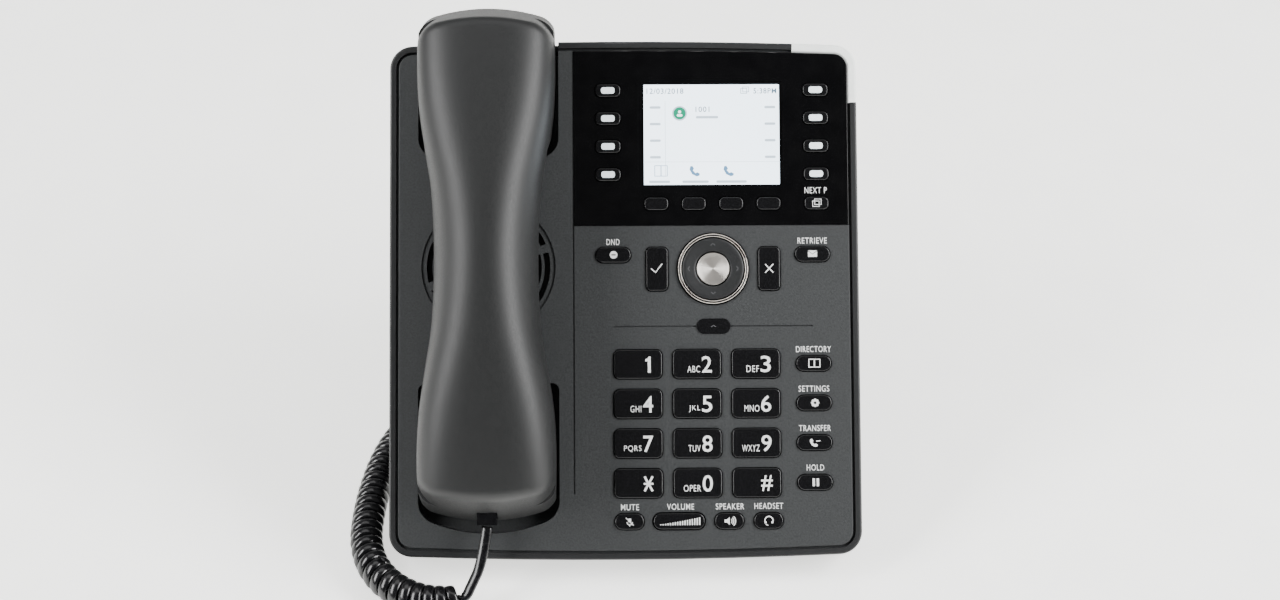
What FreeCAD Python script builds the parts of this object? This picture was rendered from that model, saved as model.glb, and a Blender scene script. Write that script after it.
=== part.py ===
import FreeCAD, Part
import Sketcher
import math
import os
import re

# Desk telephone on its foot stand, in millimetres.
# Every housing part is drawn in face coordinates: x runs right across the face, y runs up the
# face from its lower edge, and z stands out of the face. One placement then tilts them all.

Vector = FreeCAD.Vector
doc = FreeCAD.newDocument("desk_phone")
sheet = doc.addObject("Spreadsheet::Sheet", "Sizes")

SIZES = {
    # stance
    "tilt": 45, "stand_off": 11.6, "origin_shift": -81.521,
    # housing
    "body_width": 187, "body_height": 207, "bow_radius": 2150, "corner_radius": 9.2,
    "housing_depth": 28, "wall": 2.6, "floor_thickness": 2.5, "heel": 14,
    "groove_width": 1.0, "groove_depth": 2.0, "cover_thickness": 4.0, "rim_round": 0.9,
    "cover_round": 0.4, "fascia_round": 0.25,
    # right-hand panel
    "panel_centre": 35.3, "fascia_left": -19.9, "fascia_bottom": 132.6, "fascia_depth": 2.0,
    "fascia_rise": 0.3, "fascia_gap": 0.15, "crease_width": 0.6, "crease_depth": 0.5,
    # display
    "glass_width": 55.7, "glass_height": 42.0, "display_row": 169.3, "display_gap": 0.15,
    "display_back_width": 63, "display_back_height": 49,
    # keys
    "key_rise": 0.9, "key_gap": 0.35, "key_lip": 0.6, "lip_thickness": 1.0, "lip_gap": 0.2,
    "key_round": 0.45,
    "digit_width": 19.1, "digit_height": 11.5, "digit_radius": 2.3,
    "digit_across": 23.4, "digit_down": 15.7, "digit_row": 77.2, "digit_column": 5.15,
    "line_width": 10.0, "line_height": 5.0, "line_radius": 2.0, "line_offset": 41.6,
    "line_row": 186.9, "line_down": 11.3,
    "soft_width": 9.5, "soft_row": 141.2, "soft_across": 14.95,
    "pill_width": 13.9, "pill_height": 6.1, "pill_radius": 3.0, "pill_offset": 39.7,
    "pill_row": 120.8,
    "tall_width": 8.6, "tall_height": 17.4, "tall_radius": 2.0, "tall_offset": 22.35,
    "small_width": 11.4, "small_height": 6.3, "small_row": 15.1,
    "rocker_width": 20.2, "rocker_gap": 0.5, "divider_row": 92.2, "divider_length": 79.2,
    # navigation control
    "dial_row": 115.1, "trim_radius": 14.05, "trim_inner": 12.75, "trim_rise": 1.3,
    "dial_outer": 12.35, "dial_inner": 7.05, "select_radius": 6.43, "dial_bottom": 3.6,
    "dial_gap": 0.5,
    # cradle for the handset
    "cradle_centre": -54.1, "cradle_width": 56, "well_depth": 8, "ear_well_foot": 160,
    "mouth_well_foot": 10.7, "mouth_well_top": 70, "well_bow": 60, "well_corner": 9,
    "well_top_corner": 3, "well_wall": 2.4,
    # sound outlet
    "grille_row": 116.2, "grille_radius": 26.7, "grille_dish": 0.6, "grille_inner": 12.1,
    "grille_pitch": 3.4, "slot_width": 2.3,
    "speaker_radius": 26, "speaker_flange": 3, "magnet_radius": 13, "magnet_depth": 17,
    # lamp
    "lamp_left": 67.75, "lamp_foot": 181.9, "lamp_width": 3.4, "lamp_depth": 6,
    # electronics
    "board_thickness": 1.6, "board_front": -7.8, "mat_thickness": 1.0, "mat_front": -6.2,
    "socket_row": 80, "plug_width": 7.6, "plug_height": 6.6, "plug_length": 13,
    # hook
    "hook_row": 176, "hook_width": 10, "hook_height": 6, "hook_travel": 3,
    # screws and feet
    "screw_radius": 1.5, "screw_head": 2.8, "screw_head_depth": 1.8, "boss_radius": 3.6,
    "foot_radius": 6, "foot_height": 1.6,
    # stand
    "stand_width": 124, "cheek": 4, "stand_skin": 3, "stand_low": 95, "stand_high": 188,
    # cord
    "lead_width": 4.4, "coil_width": 13.6,
}
for row, (alias, number) in enumerate(SIZES.items(), start=1):
    sheet.set(f"A{row}", alias)
    sheet.set(f"B{row}", str(number))
    sheet.setAlias(f"B{row}", alias)
doc.recompute()


def value(text):
    """Number that an expression in sheet names stands for."""
    return float(sheet.evalExpression(str(text)))


def bound(text):
    """The same expression as another object has to write it."""
    return re.sub(r"[a-z]+(_[a-z]+)*", lambda name: "Sizes." + name.group(0)
                  if name.group(0) in SIZES else name.group(0), str(text))


def set_size(thing, name, text):
    thing.setExpression(name, bound(text))


def constrain_all(sketch, plain, sized):
    """Add a whole outline's constraints at once; sized ones pair a constraint with its text."""
    if plain:
        sketch.addConstraint(plain)
    first = sketch.ConstraintCount
    sketch.addConstraint([constraint for constraint, text in sized])
    for index, (constraint, text) in enumerate(sized, start=first):
        set_size(sketch, f"Constraints[{index}]", text)


def held(geometry, point, x, y):
    """Sized constraints that hold one point at x, y."""
    return [(Sketcher.Constraint("DistanceX", -1, 1, geometry, point, value(x)), x),
            (Sketcher.Constraint("DistanceY", -1, 1, geometry, point, value(y)), y)]


def sized_radius(geometry, text):
    return (Sketcher.Constraint("Radius", geometry, value(text)), text)


def face_placement():
    """Face coordinates to the standing telephone."""
    turn = FreeCAD.Rotation(Vector(1, 0, 0), value("tilt"))
    return FreeCAD.Placement(Vector(0, value("origin_shift"), value("stand_off")), turn)


def new_body(label):
    body = doc.addObject("PartDesign::Body", label)
    body.Label = label
    body.Placement = face_placement()
    return body


def new_sketch(body, role="XY_Plane", level="0", centre=None):
    """Sketch on one of the body's own origin planes, lifted by level along its normal."""
    sketch = body.newObject("Sketcher::SketchObject", "Sketch")
    plane = [f for f in body.Origin.OriginFeatures if f.Role == role][0]
    sketch.AttachmentSupport = [(plane, "")]
    sketch.MapMode = "FlatFace"
    set_size(sketch, "AttachmentOffset.Base.z", level)
    if centre:
        set_size(sketch, "AttachmentOffset.Base.x", centre[0])
        set_size(sketch, "AttachmentOffset.Base.y", centre[1])
    return sketch


def feature(body, kind, sketch, length, reverse=False, both=False):
    step = body.newObject("PartDesign::" + kind, kind)
    step.Profile = sketch
    set_size(step, "Length", length)
    step.Reversed = reverse
    if both:
        step.SideType = "Symmetric"
    sketch.Visibility = False
    return step


def pad(body, sketch, length, reverse=False, both=False):
    return feature(body, "Pad", sketch, length, reverse, both)


def pocket(body, sketch, length, reverse=False, both=False):
    return feature(body, "Pocket", sketch, length, reverse, both)


def polygon(sketch, corners):
    """Closed straight-sided outline through the corners."""
    places = [Vector(value(x), value(y), 0) for x, y in corners]
    count = len(places)
    lines = sketch.addGeometry([Part.LineSegment(places[i - 1], places[i]) for i in range(count)])
    plain = [Sketcher.Constraint("Coincident", lines[i], 2, lines[(i + 1) % count], 1)
             for i in range(count)]
    sized = []
    for line, corner in zip(lines, corners):
        sized += held(line, 2, *corner)
    constrain_all(sketch, plain, sized)


def circle(sketch, x, y, radius):
    middle = Vector(value(x), value(y), 0)
    ring = sketch.addGeometry(Part.Circle(middle, Vector(0, 0, 1), value(radius)))
    constrain_all(sketch, [], held(ring, 3, x, y) + [sized_radius(ring, radius)])


def joints(lines, arcs):
    """Tangent joints between straight or wide sides and the corner arcs that follow them."""
    ties = []
    for i, line in enumerate(lines):
        ties.append(Sketcher.Constraint("Tangent", line, 2, arcs[i], 1))
        ties.append(Sketcher.Constraint("Tangent", arcs[i], 2, lines[(i + 1) % 4], 1))
    return ties


def corner_arc(centre, radius, start):
    ring = Part.Circle(centre, Vector(0, 0, 1), radius)
    return Part.ArcOfCircle(ring, start, start + math.pi / 2)


def rounded_rectangle(sketch, x, y, width, height, radius):
    """Rectangle with round corners about x, y, drawn anticlockwise from its right side."""
    cx, cy, w, h, r = (value(text) for text in (x, y, width, height, radius))
    right, top = cx + w / 2, cy + h / 2
    left, bottom = cx - w / 2, cy - h / 2
    sides = [((right, bottom + r), (right, top - r)), ((right - r, top), (left + r, top)),
             ((left, top - r), (left, bottom + r)), ((left + r, bottom), (right - r, bottom))]
    lines = sketch.addGeometry([Part.LineSegment(Vector(*a, 0), Vector(*b, 0)) for a, b in sides])
    signs = [(1, 1), (-1, 1), (-1, -1), (1, -1)]
    arcs = sketch.addGeometry([
        corner_arc(Vector(cx + sx * (w / 2 - r), cy + sy * (h / 2 - r), 0), r, i * math.pi / 2)
        for i, (sx, sy) in enumerate(signs)])
    plain = joints(lines, arcs)
    plain += [Sketcher.Constraint("Equal", arcs[0], arc) for arc in arcs[1:]]
    sized = [sized_radius(arcs[0], radius)]
    for arc, (sx, sy) in zip(arcs, signs):
        sized += held(arc, 3, f"{x} + ({sx}) * ({width} / 2 - {radius})",
                      f"{y} + ({sy}) * ({height} / 2 - {radius})")
    constrain_all(sketch, plain, sized)


def bowed_outline(sketch, inset="0"):
    """Outline of the face: straight sides, ends bowed outward by a wide arc, round corners."""
    half = value(f"body_width / 2 - {inset}")
    bow = value(f"bow_radius - {inset}")
    r = value(f"corner_radius - {inset}")
    height = value("body_height")
    low, high = value("bow_radius"), height - value("bow_radius")
    reach = math.sqrt((bow - r) ** 2 - (half - r) ** 2)
    lean = math.acos((half - r) / (bow - r))
    top_right = Vector(half - r, high + reach, 0)
    low_right = Vector(half - r, low - reach, 0)
    z = Vector(0, 0, 1)
    wide_top = Part.ArcOfCircle(Part.Circle(Vector(0, high, 0), z, bow), lean, math.pi - lean)
    wide_low = Part.ArcOfCircle(Part.Circle(Vector(0, low, 0), z, bow), math.pi + lean, -lean)
    sides = [Part.LineSegment(Vector(half, low_right.y, 0), Vector(half, top_right.y, 0)), wide_top,
             Part.LineSegment(Vector(-half, top_right.y, 0), Vector(-half, low_right.y, 0)), wide_low]
    lines = sketch.addGeometry(sides)
    corners = [(top_right, 1, 0, lean), (top_right, -1, math.pi - lean, math.pi),
               (low_right, -1, math.pi, math.pi + lean), (low_right, 1, -lean, 0)]
    arcs = sketch.addGeometry([
        Part.ArcOfCircle(Part.Circle(Vector(side * centre.x, centre.y, 0), z, r), start, end)
        for centre, side, start, end in corners])
    plain = joints(lines, arcs)
    plain += [Sketcher.Constraint("Vertical", lines[0]), Sketcher.Constraint("Vertical", lines[2])]
    sized = held(lines[1], 3, "0", "body_height - bow_radius") + held(lines[3], 3, "0", "bow_radius")
    sized += [sized_radius(wide, f"bow_radius - {inset}") for wide in (lines[1], lines[3])]
    sized += [sized_radius(arc, f"corner_radius - {inset}") for arc in arcs]
    for line, side in ((lines[0], "1"), (lines[2], "-1")):
        text = f"{side} * (body_width / 2 - {inset})"
        sized.append((Sketcher.Constraint("DistanceX", -1, 1, line, 1, value(text)), text))
    constrain_all(sketch, plain, sized)


def mouth_well_outline(sketch):
    """Straight sides and top, and a foot bowed like the end of the handset."""
    middle, half = value("cradle_centre"), value("cradle_width / 2")
    bow, r, top_r = value("well_bow"), value("well_corner"), value("well_top_corner")
    top, bow_row = value("mouth_well_top"), value("mouth_well_foot + well_bow")
    corner_row = bow_row - math.sqrt((bow - r) ** 2 - (half - r) ** 2)
    lean = math.acos((half - r) / (bow - r))
    z = Vector(0, 0, 1)
    left, right = middle - half, middle + half
    wide_low = Part.ArcOfCircle(Part.Circle(Vector(middle, bow_row, 0), z, bow), math.pi + lean, -lean)
    lines = sketch.addGeometry([
        Part.LineSegment(Vector(right, corner_row, 0), Vector(right, top - top_r, 0)),
        Part.LineSegment(Vector(right - top_r, top, 0), Vector(left + top_r, top, 0)),
        Part.LineSegment(Vector(left, top - top_r, 0), Vector(left, corner_row, 0)), wide_low])
    quarter = math.pi / 2
    corners = [(right - top_r, top - top_r, top_r, 0, quarter),
               (left + top_r, top - top_r, top_r, quarter, math.pi),
               (left + r, corner_row, r, math.pi, math.pi + lean), (right - r, corner_row, r, -lean, 0)]
    arcs = sketch.addGeometry([Part.ArcOfCircle(Part.Circle(Vector(x, y, 0), z, radius), start, end)
                               for x, y, radius, start, end in corners])
    plain = joints(lines, arcs)
    plain += [Sketcher.Constraint("Vertical", lines[0]), Sketcher.Constraint("Horizontal", lines[1]),
              Sketcher.Constraint("Vertical", lines[2])]
    sized = held(lines[3], 3, "cradle_centre", "mouth_well_foot + well_bow")
    sized += [sized_radius(lines[3], "well_bow")]
    sized += [sized_radius(arc, name) for arc, name in
              zip(arcs, ("well_top_corner", "well_top_corner", "well_corner", "well_corner"))]
    for line, side in ((lines[0], "1"), (lines[2], "-1")):
        text = f"cradle_centre + {side} * cradle_width / 2"
        sized.append((Sketcher.Constraint("DistanceX", -1, 1, line, 1, value(text)), text))
    sized.append((Sketcher.Constraint("DistanceY", -1, 1, lines[1], 1, top), "mouth_well_top"))
    constrain_all(sketch, plain, sized)


def round_edges(body, level, radius):
    """Fillet every edge that lies at one level of the body."""
    doc.recompute()
    base = body.Tip
    edges = [f"Edge{i}" for i, edge in enumerate(base.Shape.Edges, start=1)
             if abs(edge.BoundBox.ZMin - level) < 1e-4 and abs(edge.BoundBox.ZMax - level) < 1e-4]
    fillet = body.newObject("PartDesign::Fillet", "Fillet")
    fillet.Base = (base, edges)
    set_size(fillet, "Radius", radius)


# ---------------------------------------------------------------- keys and their openings
# Each key is a moulded cap on a wider lip that the front cover holds back.

KEYS = []          # name, x, y, width, height, corner radius


def add_key(name, x, y, width, height, radius):
    KEYS.append((name, x, y, width, height, radius))


digits = ["1", "2", "3", "4", "5", "6", "7", "8", "9", "star", "0", "hash"]
for i, digit in enumerate(digits):
    add_key(f"key_{digit}", f"digit_column + {i % 3} * digit_across",
            f"digit_row - {i // 3} * digit_down", "digit_width", "digit_height", "digit_radius")
for side, sign in (("left", "-1"), ("right", "1")):
    for i in range(4):
        add_key(f"line_key_{side}_{i + 1}", f"panel_centre + {sign} * line_offset",
                f"line_row - {i} * line_down", "line_width", "line_height", "line_radius")
for i in range(4):
    add_key(f"soft_key_{i + 1}", f"panel_centre + ({i} - 1.5) * soft_across", "soft_row",
            "soft_width", "line_height", "line_radius")
add_key("key_next_page", "panel_centre + line_offset", "soft_row", "soft_width", "line_height",
        "line_radius")
for name, sign in (("key_do_not_disturb", "-1"), ("key_retrieve", "1")):
    add_key(name, f"panel_centre + {sign} * pill_offset", "pill_row", "pill_width", "pill_height",
            "pill_radius")
for i, name in enumerate(("key_directory", "key_settings", "key_transfer", "key_hold")):
    add_key(name, "panel_centre + pill_offset", f"digit_row - {i} * digit_down", "pill_width",
            "pill_height", "pill_radius")
for name, sign in (("key_confirm", "-1"), ("key_cancel", "1")):
    add_key(name, f"panel_centre + {sign} * tall_offset", "dial_row", "tall_width", "tall_height",
            "tall_radius")
for name, x in (("key_mute", "1.45"), ("key_speaker", "40.9"), ("key_headset", "56.4")):
    add_key(name, x, "small_row", "small_width", "small_height", "pill_radius")

for name, x, y, width, height, radius in KEYS:
    body = new_body(name)
    lip = new_sketch(body, level="-cover_thickness - lip_gap")
    rounded_rectangle(lip, x, y, f"({width} + 2 * key_lip)", f"({height} + 2 * key_lip)",
                      f"({radius} + key_lip)")
    pad(body, lip, "lip_thickness", reverse=True)
    cap = new_sketch(body, level="-cover_thickness - lip_gap")
    rounded_rectangle(cap, x, y, width, height, radius)
    pad(body, cap, "cover_thickness + lip_gap + key_rise")
    round_edges(body, value("key_rise"), "key_round")

rocker = new_body("key_volume")
rocker_x = "21.05"
sketch = new_sketch(rocker, level="-cover_thickness")
rounded_rectangle(sketch, rocker_x, "small_row", "rocker_width", "small_height", "pill_radius")
pad(rocker, sketch, "cover_thickness + key_rise")
round_edges(rocker, value("key_rise"), "key_round")

# Navigation control: a bright trim ring, a rocking ring inside it and a select button.
trim = new_body("nav_trim_ring")
sketch = new_sketch(trim, level="-dial_bottom")
circle(sketch, "panel_centre", "dial_row", "trim_radius")
circle(sketch, "panel_centre", "dial_row", "trim_inner")
pad(trim, sketch, "dial_bottom + trim_rise")
round_edges(trim, value("trim_rise"), "key_round")

dial = new_body("nav_ring")
sketch = new_sketch(dial, level="-dial_bottom")
circle(sketch, "panel_centre", "dial_row", "dial_outer")
circle(sketch, "panel_centre", "dial_row", "dial_inner")
pad(dial, sketch, "dial_bottom + key_rise")
round_edges(dial, value("key_rise"), "key_round")

select = new_body("key_ok")
sketch = new_sketch(select, level="-cover_thickness - 2 * lip_gap")
circle(sketch, "panel_centre", "dial_row", "select_radius + 2.6")
pad(select, sketch, "lip_thickness - lip_gap", reverse=True)
sketch = new_sketch(select, level="-cover_thickness - 2 * lip_gap")
circle(sketch, "panel_centre", "dial_row", "select_radius")
pad(select, sketch, "cover_thickness + 2 * lip_gap + key_rise")
round_edges(select, value("key_rise"), "key_round")


def cut_key_openings(body, level, depth, floor):
    """Pocket every opening whose centre lies above floor, a few to a sketch."""
    wanted = [(x, y, f"({width} + 2 * key_gap)", f"({height} + 2 * key_gap)", f"({radius} + key_gap)")
              for name, x, y, width, height, radius in KEYS if value(y) > floor]
    wanted.append(("panel_centre", "display_row", "(glass_width + 2 * display_gap)",
                   "(glass_height + 2 * display_gap)", "0.6"))
    if value("small_row") > floor:
        wanted.append((rocker_x, "small_row", "(rocker_width + 2 * rocker_gap)",
                       "(small_height + 2 * rocker_gap)", "(pill_radius + rocker_gap)"))
        sketch = new_sketch(body, level=level)
        circle(sketch, "panel_centre", "dial_row", "trim_radius + dial_gap")
        pocket(body, sketch, depth)
    for i in range(0, len(wanted), 4):
        sketch = new_sketch(body, level=level)
        for opening in wanted[i:i + 4]:
            rounded_rectangle(sketch, *opening)
        pocket(body, sketch, depth)


# ---------------------------------------------------------------- front cover
# A plate set into the housing's rim, with a deep well under each end of the handset.
front = new_body("front_cover")
sketch = new_sketch(front, level="-cover_thickness")
bowed_outline(sketch, "wall")
pad(front, sketch, "cover_thickness - groove_depth")
sketch = new_sketch(front, level="-groove_depth")
bowed_outline(sketch, "(wall + groove_width)")
pad(front, sketch, "groove_depth")
round_edges(front, 0, "cover_round")
well_left = "cradle_centre - cradle_width / 2"
well_right = "cradle_centre + cradle_width / 2"
sketch = new_sketch(front, level="-well_depth - well_wall")
polygon(sketch, [(f"{well_left} - well_wall", "ear_well_foot - well_wall"),
                 (f"{well_right} + well_wall", "ear_well_foot - well_wall"),
                 (f"{well_right} + well_wall", "body_height - wall - groove_width - 1"),
                 (f"{well_left} - well_wall", "body_height - wall - groove_width - 1")])
pad(front, sketch, "well_depth + well_wall - groove_depth")
sketch = new_sketch(front, level="-well_depth - well_wall")
polygon(sketch, [(f"{well_left} - well_wall", "mouth_well_foot - well_wall"),
                 (f"{well_right} + well_wall", "mouth_well_foot - well_wall"),
                 (f"{well_right} + well_wall", "mouth_well_top + well_wall"),
                 (f"{well_left} - well_wall", "mouth_well_top + well_wall")])
pad(front, sketch, "well_depth + well_wall - groove_depth")
sketch = new_sketch(front)
rounded_rectangle(sketch, "cradle_centre", "(ear_well_foot + 40)", "cradle_width", "80", "8")
pocket(front, sketch, "well_depth")
sketch = new_sketch(front)
mouth_well_outline(sketch)
pocket(front, sketch, "well_depth")
sketch = new_sketch(front)
polygon(sketch, [("fascia_left - fascia_gap", "fascia_bottom - fascia_gap"),
                 ("body_width", "fascia_bottom - fascia_gap"),
                 ("body_width", "body_height + 10"),
                 ("fascia_left - fascia_gap", "body_height + 10")])
pocket(front, sketch, "fascia_depth")
cut_key_openings(front, "fascia_rise", "cover_thickness + fascia_rise + 1", 0)
# creases: one down beside the handset and one across above the number keys
sketch = new_sketch(front)
polygon(sketch, [("fascia_left - crease_width", "26"), ("fascia_left", "26"),
                 ("fascia_left", "body_height - 4"), ("fascia_left - crease_width", "body_height - 4")])
polygon(sketch, [("panel_centre - divider_length / 2", "divider_row - crease_width / 2"),
                 ("panel_centre + divider_length / 2", "divider_row - crease_width / 2"),
                 ("panel_centre + divider_length / 2", "divider_row + crease_width / 2"),
                 ("panel_centre - divider_length / 2", "divider_row + crease_width / 2")])
pocket(front, sketch, "crease_depth")
# sound outlet: a shallow dish with four rings of six slots
sketch = new_sketch(front)
circle(sketch, "cradle_centre", "grille_row", "grille_radius")
pocket(front, sketch, "grille_dish")
SLOT_START, SLOT_END = -38, 14
SPOKES = 6
RINGS = 4


def ring_slot(sketch, inner, outer):
    """Part of a ring between two spokes, about the sketch's own centre."""
    angles = [math.radians(SLOT_START), math.radians(SLOT_END)]
    rings = [Part.Circle(Vector(), Vector(0, 0, 1), value(radius)) for radius in (inner, outer)]
    arcs = sketch.addGeometry([Part.ArcOfCircle(ring, *angles) for ring in rings])
    spokes = [Vector(math.cos(angle), math.sin(angle), 0) for angle in angles]
    lines = sketch.addGeometry([Part.LineSegment(along * value(inner), along * value(outer))
                                for along in spokes])
    plain = [Sketcher.Constraint("Coincident", arc, 3, -1, 1) for arc in arcs]
    for line, point, angle in zip(lines, (1, 2), angles):
        plain.append(Sketcher.Constraint("Coincident", line, 1, arcs[0], point))
        plain.append(Sketcher.Constraint("Coincident", line, 2, arcs[1], point))
        plain.append(Sketcher.Constraint("PointOnObject", -1, 1, line))
        plain.append(Sketcher.Constraint("Angle", line, angle))
    constrain_all(sketch, plain, [sized_radius(arcs[0], inner), sized_radius(arcs[1], outer)])


sketch = new_sketch(front, centre=("cradle_centre", "grille_row"))
for i in range(RINGS):
    ring_slot(sketch, f"grille_inner + {i} * grille_pitch",
              f"grille_inner + {i} * grille_pitch + slot_width")
slots = pocket(front, sketch, "cover_thickness + 1")
spin = front.newObject("PartDesign::PolarPattern", "Spokes")
spin.Originals = [slots]
spin.Axis = (sketch, ["N_Axis"])
spin.Angle = 360
spin.Occurrences = SPOKES
front.Tip = spin
# hole for the hook switch in the upper well's floor
sketch = new_sketch(front, level="-well_depth + 1")
rounded_rectangle(sketch, "cradle_centre", "hook_row", "(hook_width + 2 * key_gap)",
                  "(hook_height + 2 * key_gap)", "1.3")
pocket(front, sketch, "well_wall + 2")
# screw bosses
SCREWS = [("-84.6", "118"), ("-10.2", "100"), ("80", "100"), ("81.5", "22"), ("-11", "24")]
sketch = new_sketch(front, level="-cover_thickness")
for x, y in SCREWS:
    circle(sketch, x, y, "boss_radius")
    circle(sketch, x, y, "screw_radius + 0.03")
pad(front, sketch, "housing_depth - floor_thickness - cover_thickness", reverse=True)

# ---------------------------------------------------------------- display fascia
fascia = new_body("display_fascia")
sketch = new_sketch(fascia, level="-fascia_depth")
bowed_outline(sketch, "(wall + groove_width + 0.2)")
pad(fascia, sketch, "fascia_depth + fascia_rise")
round_edges(fascia, value("fascia_rise"), "fascia_round")
sketch = new_sketch(fascia, level="fascia_rise + 1")
polygon(sketch, [("-body_width", "-10"), ("fascia_left", "-10"),
                 ("fascia_left", "body_height + 10"), ("-body_width", "body_height + 10")])
pocket(fascia, sketch, "fascia_depth + fascia_rise + 2")
sketch = new_sketch(fascia, level="fascia_rise + 1")
polygon(sketch, [("-body_width", "-10"), ("body_width", "-10"),
                 ("body_width", "fascia_bottom"), ("-body_width", "fascia_bottom")])
pocket(fascia, sketch, "fascia_depth + fascia_rise + 2")
cut_key_openings(fascia, "fascia_rise + 1", "fascia_depth + fascia_rise + 2", value("fascia_bottom"))

# ---------------------------------------------------------------- display module
display = new_body("lcd_module")
sketch = new_sketch(display, level="board_front")
rounded_rectangle(sketch, "panel_centre", "display_row", "display_back_width",
                  "display_back_height", "1")
pad(display, sketch, "-board_front - cover_thickness")
sketch = new_sketch(display, level="-cover_thickness")
rounded_rectangle(sketch, "panel_centre", "display_row", "glass_width", "glass_height", "0.4")
pad(display, sketch, "cover_thickness - 0.1")

# ---------------------------------------------------------------- rear cover
# An open tub: rim, walls and floor, with a sloped heel to stand on and openings for the sockets.
tub = new_body("rear_tub")
sketch = new_sketch(tub)
bowed_outline(sketch)
pad(tub, sketch, "housing_depth", reverse=True)
round_edges(tub, 0, "rim_round")
sketch = new_sketch(tub, role="YZ_Plane")
polygon(sketch, [("-5", "-housing_depth + heel + 5"), ("heel + 5", "-housing_depth - 5"),
                 ("-5", "-housing_depth - 5")])
pocket(tub, sketch, "body_width + 20", both=True)
inner_foot = "heel + floor_thickness"
sketch = new_sketch(tub)
bowed_outline(sketch, "wall")
pocket(tub, sketch, "housing_depth - heel - floor_thickness")
sketch = new_sketch(tub, level="-housing_depth + heel + floor_thickness")
rounded_rectangle(sketch, "0", f"(({inner_foot} + body_height - 4.2) / 2)", "(body_width - 2 * wall)",
                  f"(body_height - 4.2 - {inner_foot})", "(corner_radius - wall)")
pocket(tub, sketch, "heel")
# notch through the rim for the handset's upper end
sketch = new_sketch(tub)
polygon(sketch, [(well_left, "body_height - 12"), (well_right, "body_height - 12"),
                 (well_right, "body_height + 10"), (well_left, "body_height + 10")])
pocket(tub, sketch, "well_depth")
# slots for the stand's hooks, sockets and screw heads
HOOKS = [(side * 30, row) for side in (-1, 1) for row in (150, 176)]
SOCKETS = [("8", "14"), ("-9", "14"), ("27", "10"), ("46", "8.4")]
back = "-housing_depth - 1"
sketch = new_sketch(tub, level=back)
for x, y in HOOKS:
    rounded_rectangle(sketch, str(x), str(y), "12.6", "3.6", "0.5")
for x, width in SOCKETS:
    rounded_rectangle(sketch, x, "socket_row", width, "9", "0.6")
circle(sketch, "66", "socket_row", "4")
for x, y in SCREWS:
    circle(sketch, x, y, "screw_radius + 0.03")
pocket(tub, sketch, "floor_thickness + 1.5", reverse=True)
lamp_seat = new_body("lamp_seat")
sketch = new_sketch(lamp_seat, level="-lamp_depth")
bowed_outline(sketch, "-1")
bowed_outline(sketch, "lamp_width")
pad(lamp_seat, sketch, "lamp_depth + 1")
lamp_ring = new_body("lamp_ring")
sketch = new_sketch(lamp_ring, level="-lamp_depth")
bowed_outline(sketch)
bowed_outline(sketch, "wall")
pad(lamp_ring, sketch, "lamp_depth")
sketch = new_sketch(lamp_ring, level="-groove_depth + 0.1")
bowed_outline(sketch)
bowed_outline(sketch, "lamp_width")
pad(lamp_ring, sketch, "groove_depth - 0.1")
round_edges(lamp_ring, 0, "rim_round")


def corner_block(name):
    """Box over the upper right corner, which the lamp wraps."""
    block = doc.addObject("Part::Box", name)
    set_size(block, "Length", "body_width")
    set_size(block, "Width", "body_height")
    set_size(block, "Height", "lamp_depth + 4")
    place = face_placement().multiply(FreeCAD.Placement(
        Vector(value("lamp_left"), value("lamp_foot"), -value("lamp_depth") - 2), FreeCAD.Rotation()))
    block.Placement = place
    return block


def boolean(kind, name, base, tool):
    result = doc.addObject("Part::" + kind, name)
    result.Label = name
    result.Base = base
    result.Tool = tool
    return result


seat_corner = boolean("Common", "lamp_seat_corner", lamp_seat, corner_block("seat_block"))
rear_cover = boolean("Cut", "rear_cover", tub, seat_corner)
message_lamp = boolean("Common", "message_lamp", lamp_ring, corner_block("lamp_block"))

# ---------------------------------------------------------------- electronics
# Rubber mat under the keys, circuit board with its sockets, loudspeaker, hook switch.
mat = new_body("key_mat")
sketch = new_sketch(mat, level="mat_front")
polygon(sketch, [("-17", "8"), ("86", "8"), ("86", "196"), ("-17", "196")])
rounded_rectangle(sketch, "panel_centre", "display_row", "(display_back_width + 1)",
                  "(display_back_height + 1)", "1")
for x, y in SCREWS[1:]:
    circle(sketch, x, y, "boss_radius + 0.5")
pad(mat, sketch, "mat_thickness", reverse=True)
sketch = new_sketch(mat, level="mat_front - mat_thickness")
for name, x, y, width, height, radius in KEYS:
    circle(sketch, x, y, "1.8")
pad(mat, sketch, "mat_front - mat_thickness - board_front", reverse=True)

board = new_body("main_board")
sketch = new_sketch(board, level="board_front")
polygon(sketch, [("-19", "6"), ("88", "6"), ("88", "197"), ("-19", "197")])
for x, y in SCREWS[1:]:
    circle(sketch, x, y, "boss_radius + 0.5")
pad(board, sketch, "board_thickness", reverse=True)
board_back = "board_front - board_thickness"
sketch = new_sketch(board, level=board_back)
for x, width in SOCKETS:
    rounded_rectangle(sketch, x, "socket_row", f"({width} + 2)", "13", "0.5")
rounded_rectangle(sketch, "66", "socket_row", "11", "13", "0.5")
pad(board, sketch, f"housing_depth - floor_thickness + ({board_back}) - 0.2", reverse=True)
sketch = new_sketch(board, level="-housing_depth + floor_thickness")
for x, width in SOCKETS:
    rounded_rectangle(sketch, x, "socket_row", f"({width} - 0.6)", "8.4", "0.4")
circle(sketch, "66", "socket_row", "3")
pocket(board, sketch, "13", reverse=True)
sketch = new_sketch(board, level=board_back)
rounded_rectangle(sketch, "20", "130", "27", "27", "0.5")
rounded_rectangle(sketch, "56", "128", "14", "14", "0.5")
pad(board, sketch, "1.6", reverse=True)

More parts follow.
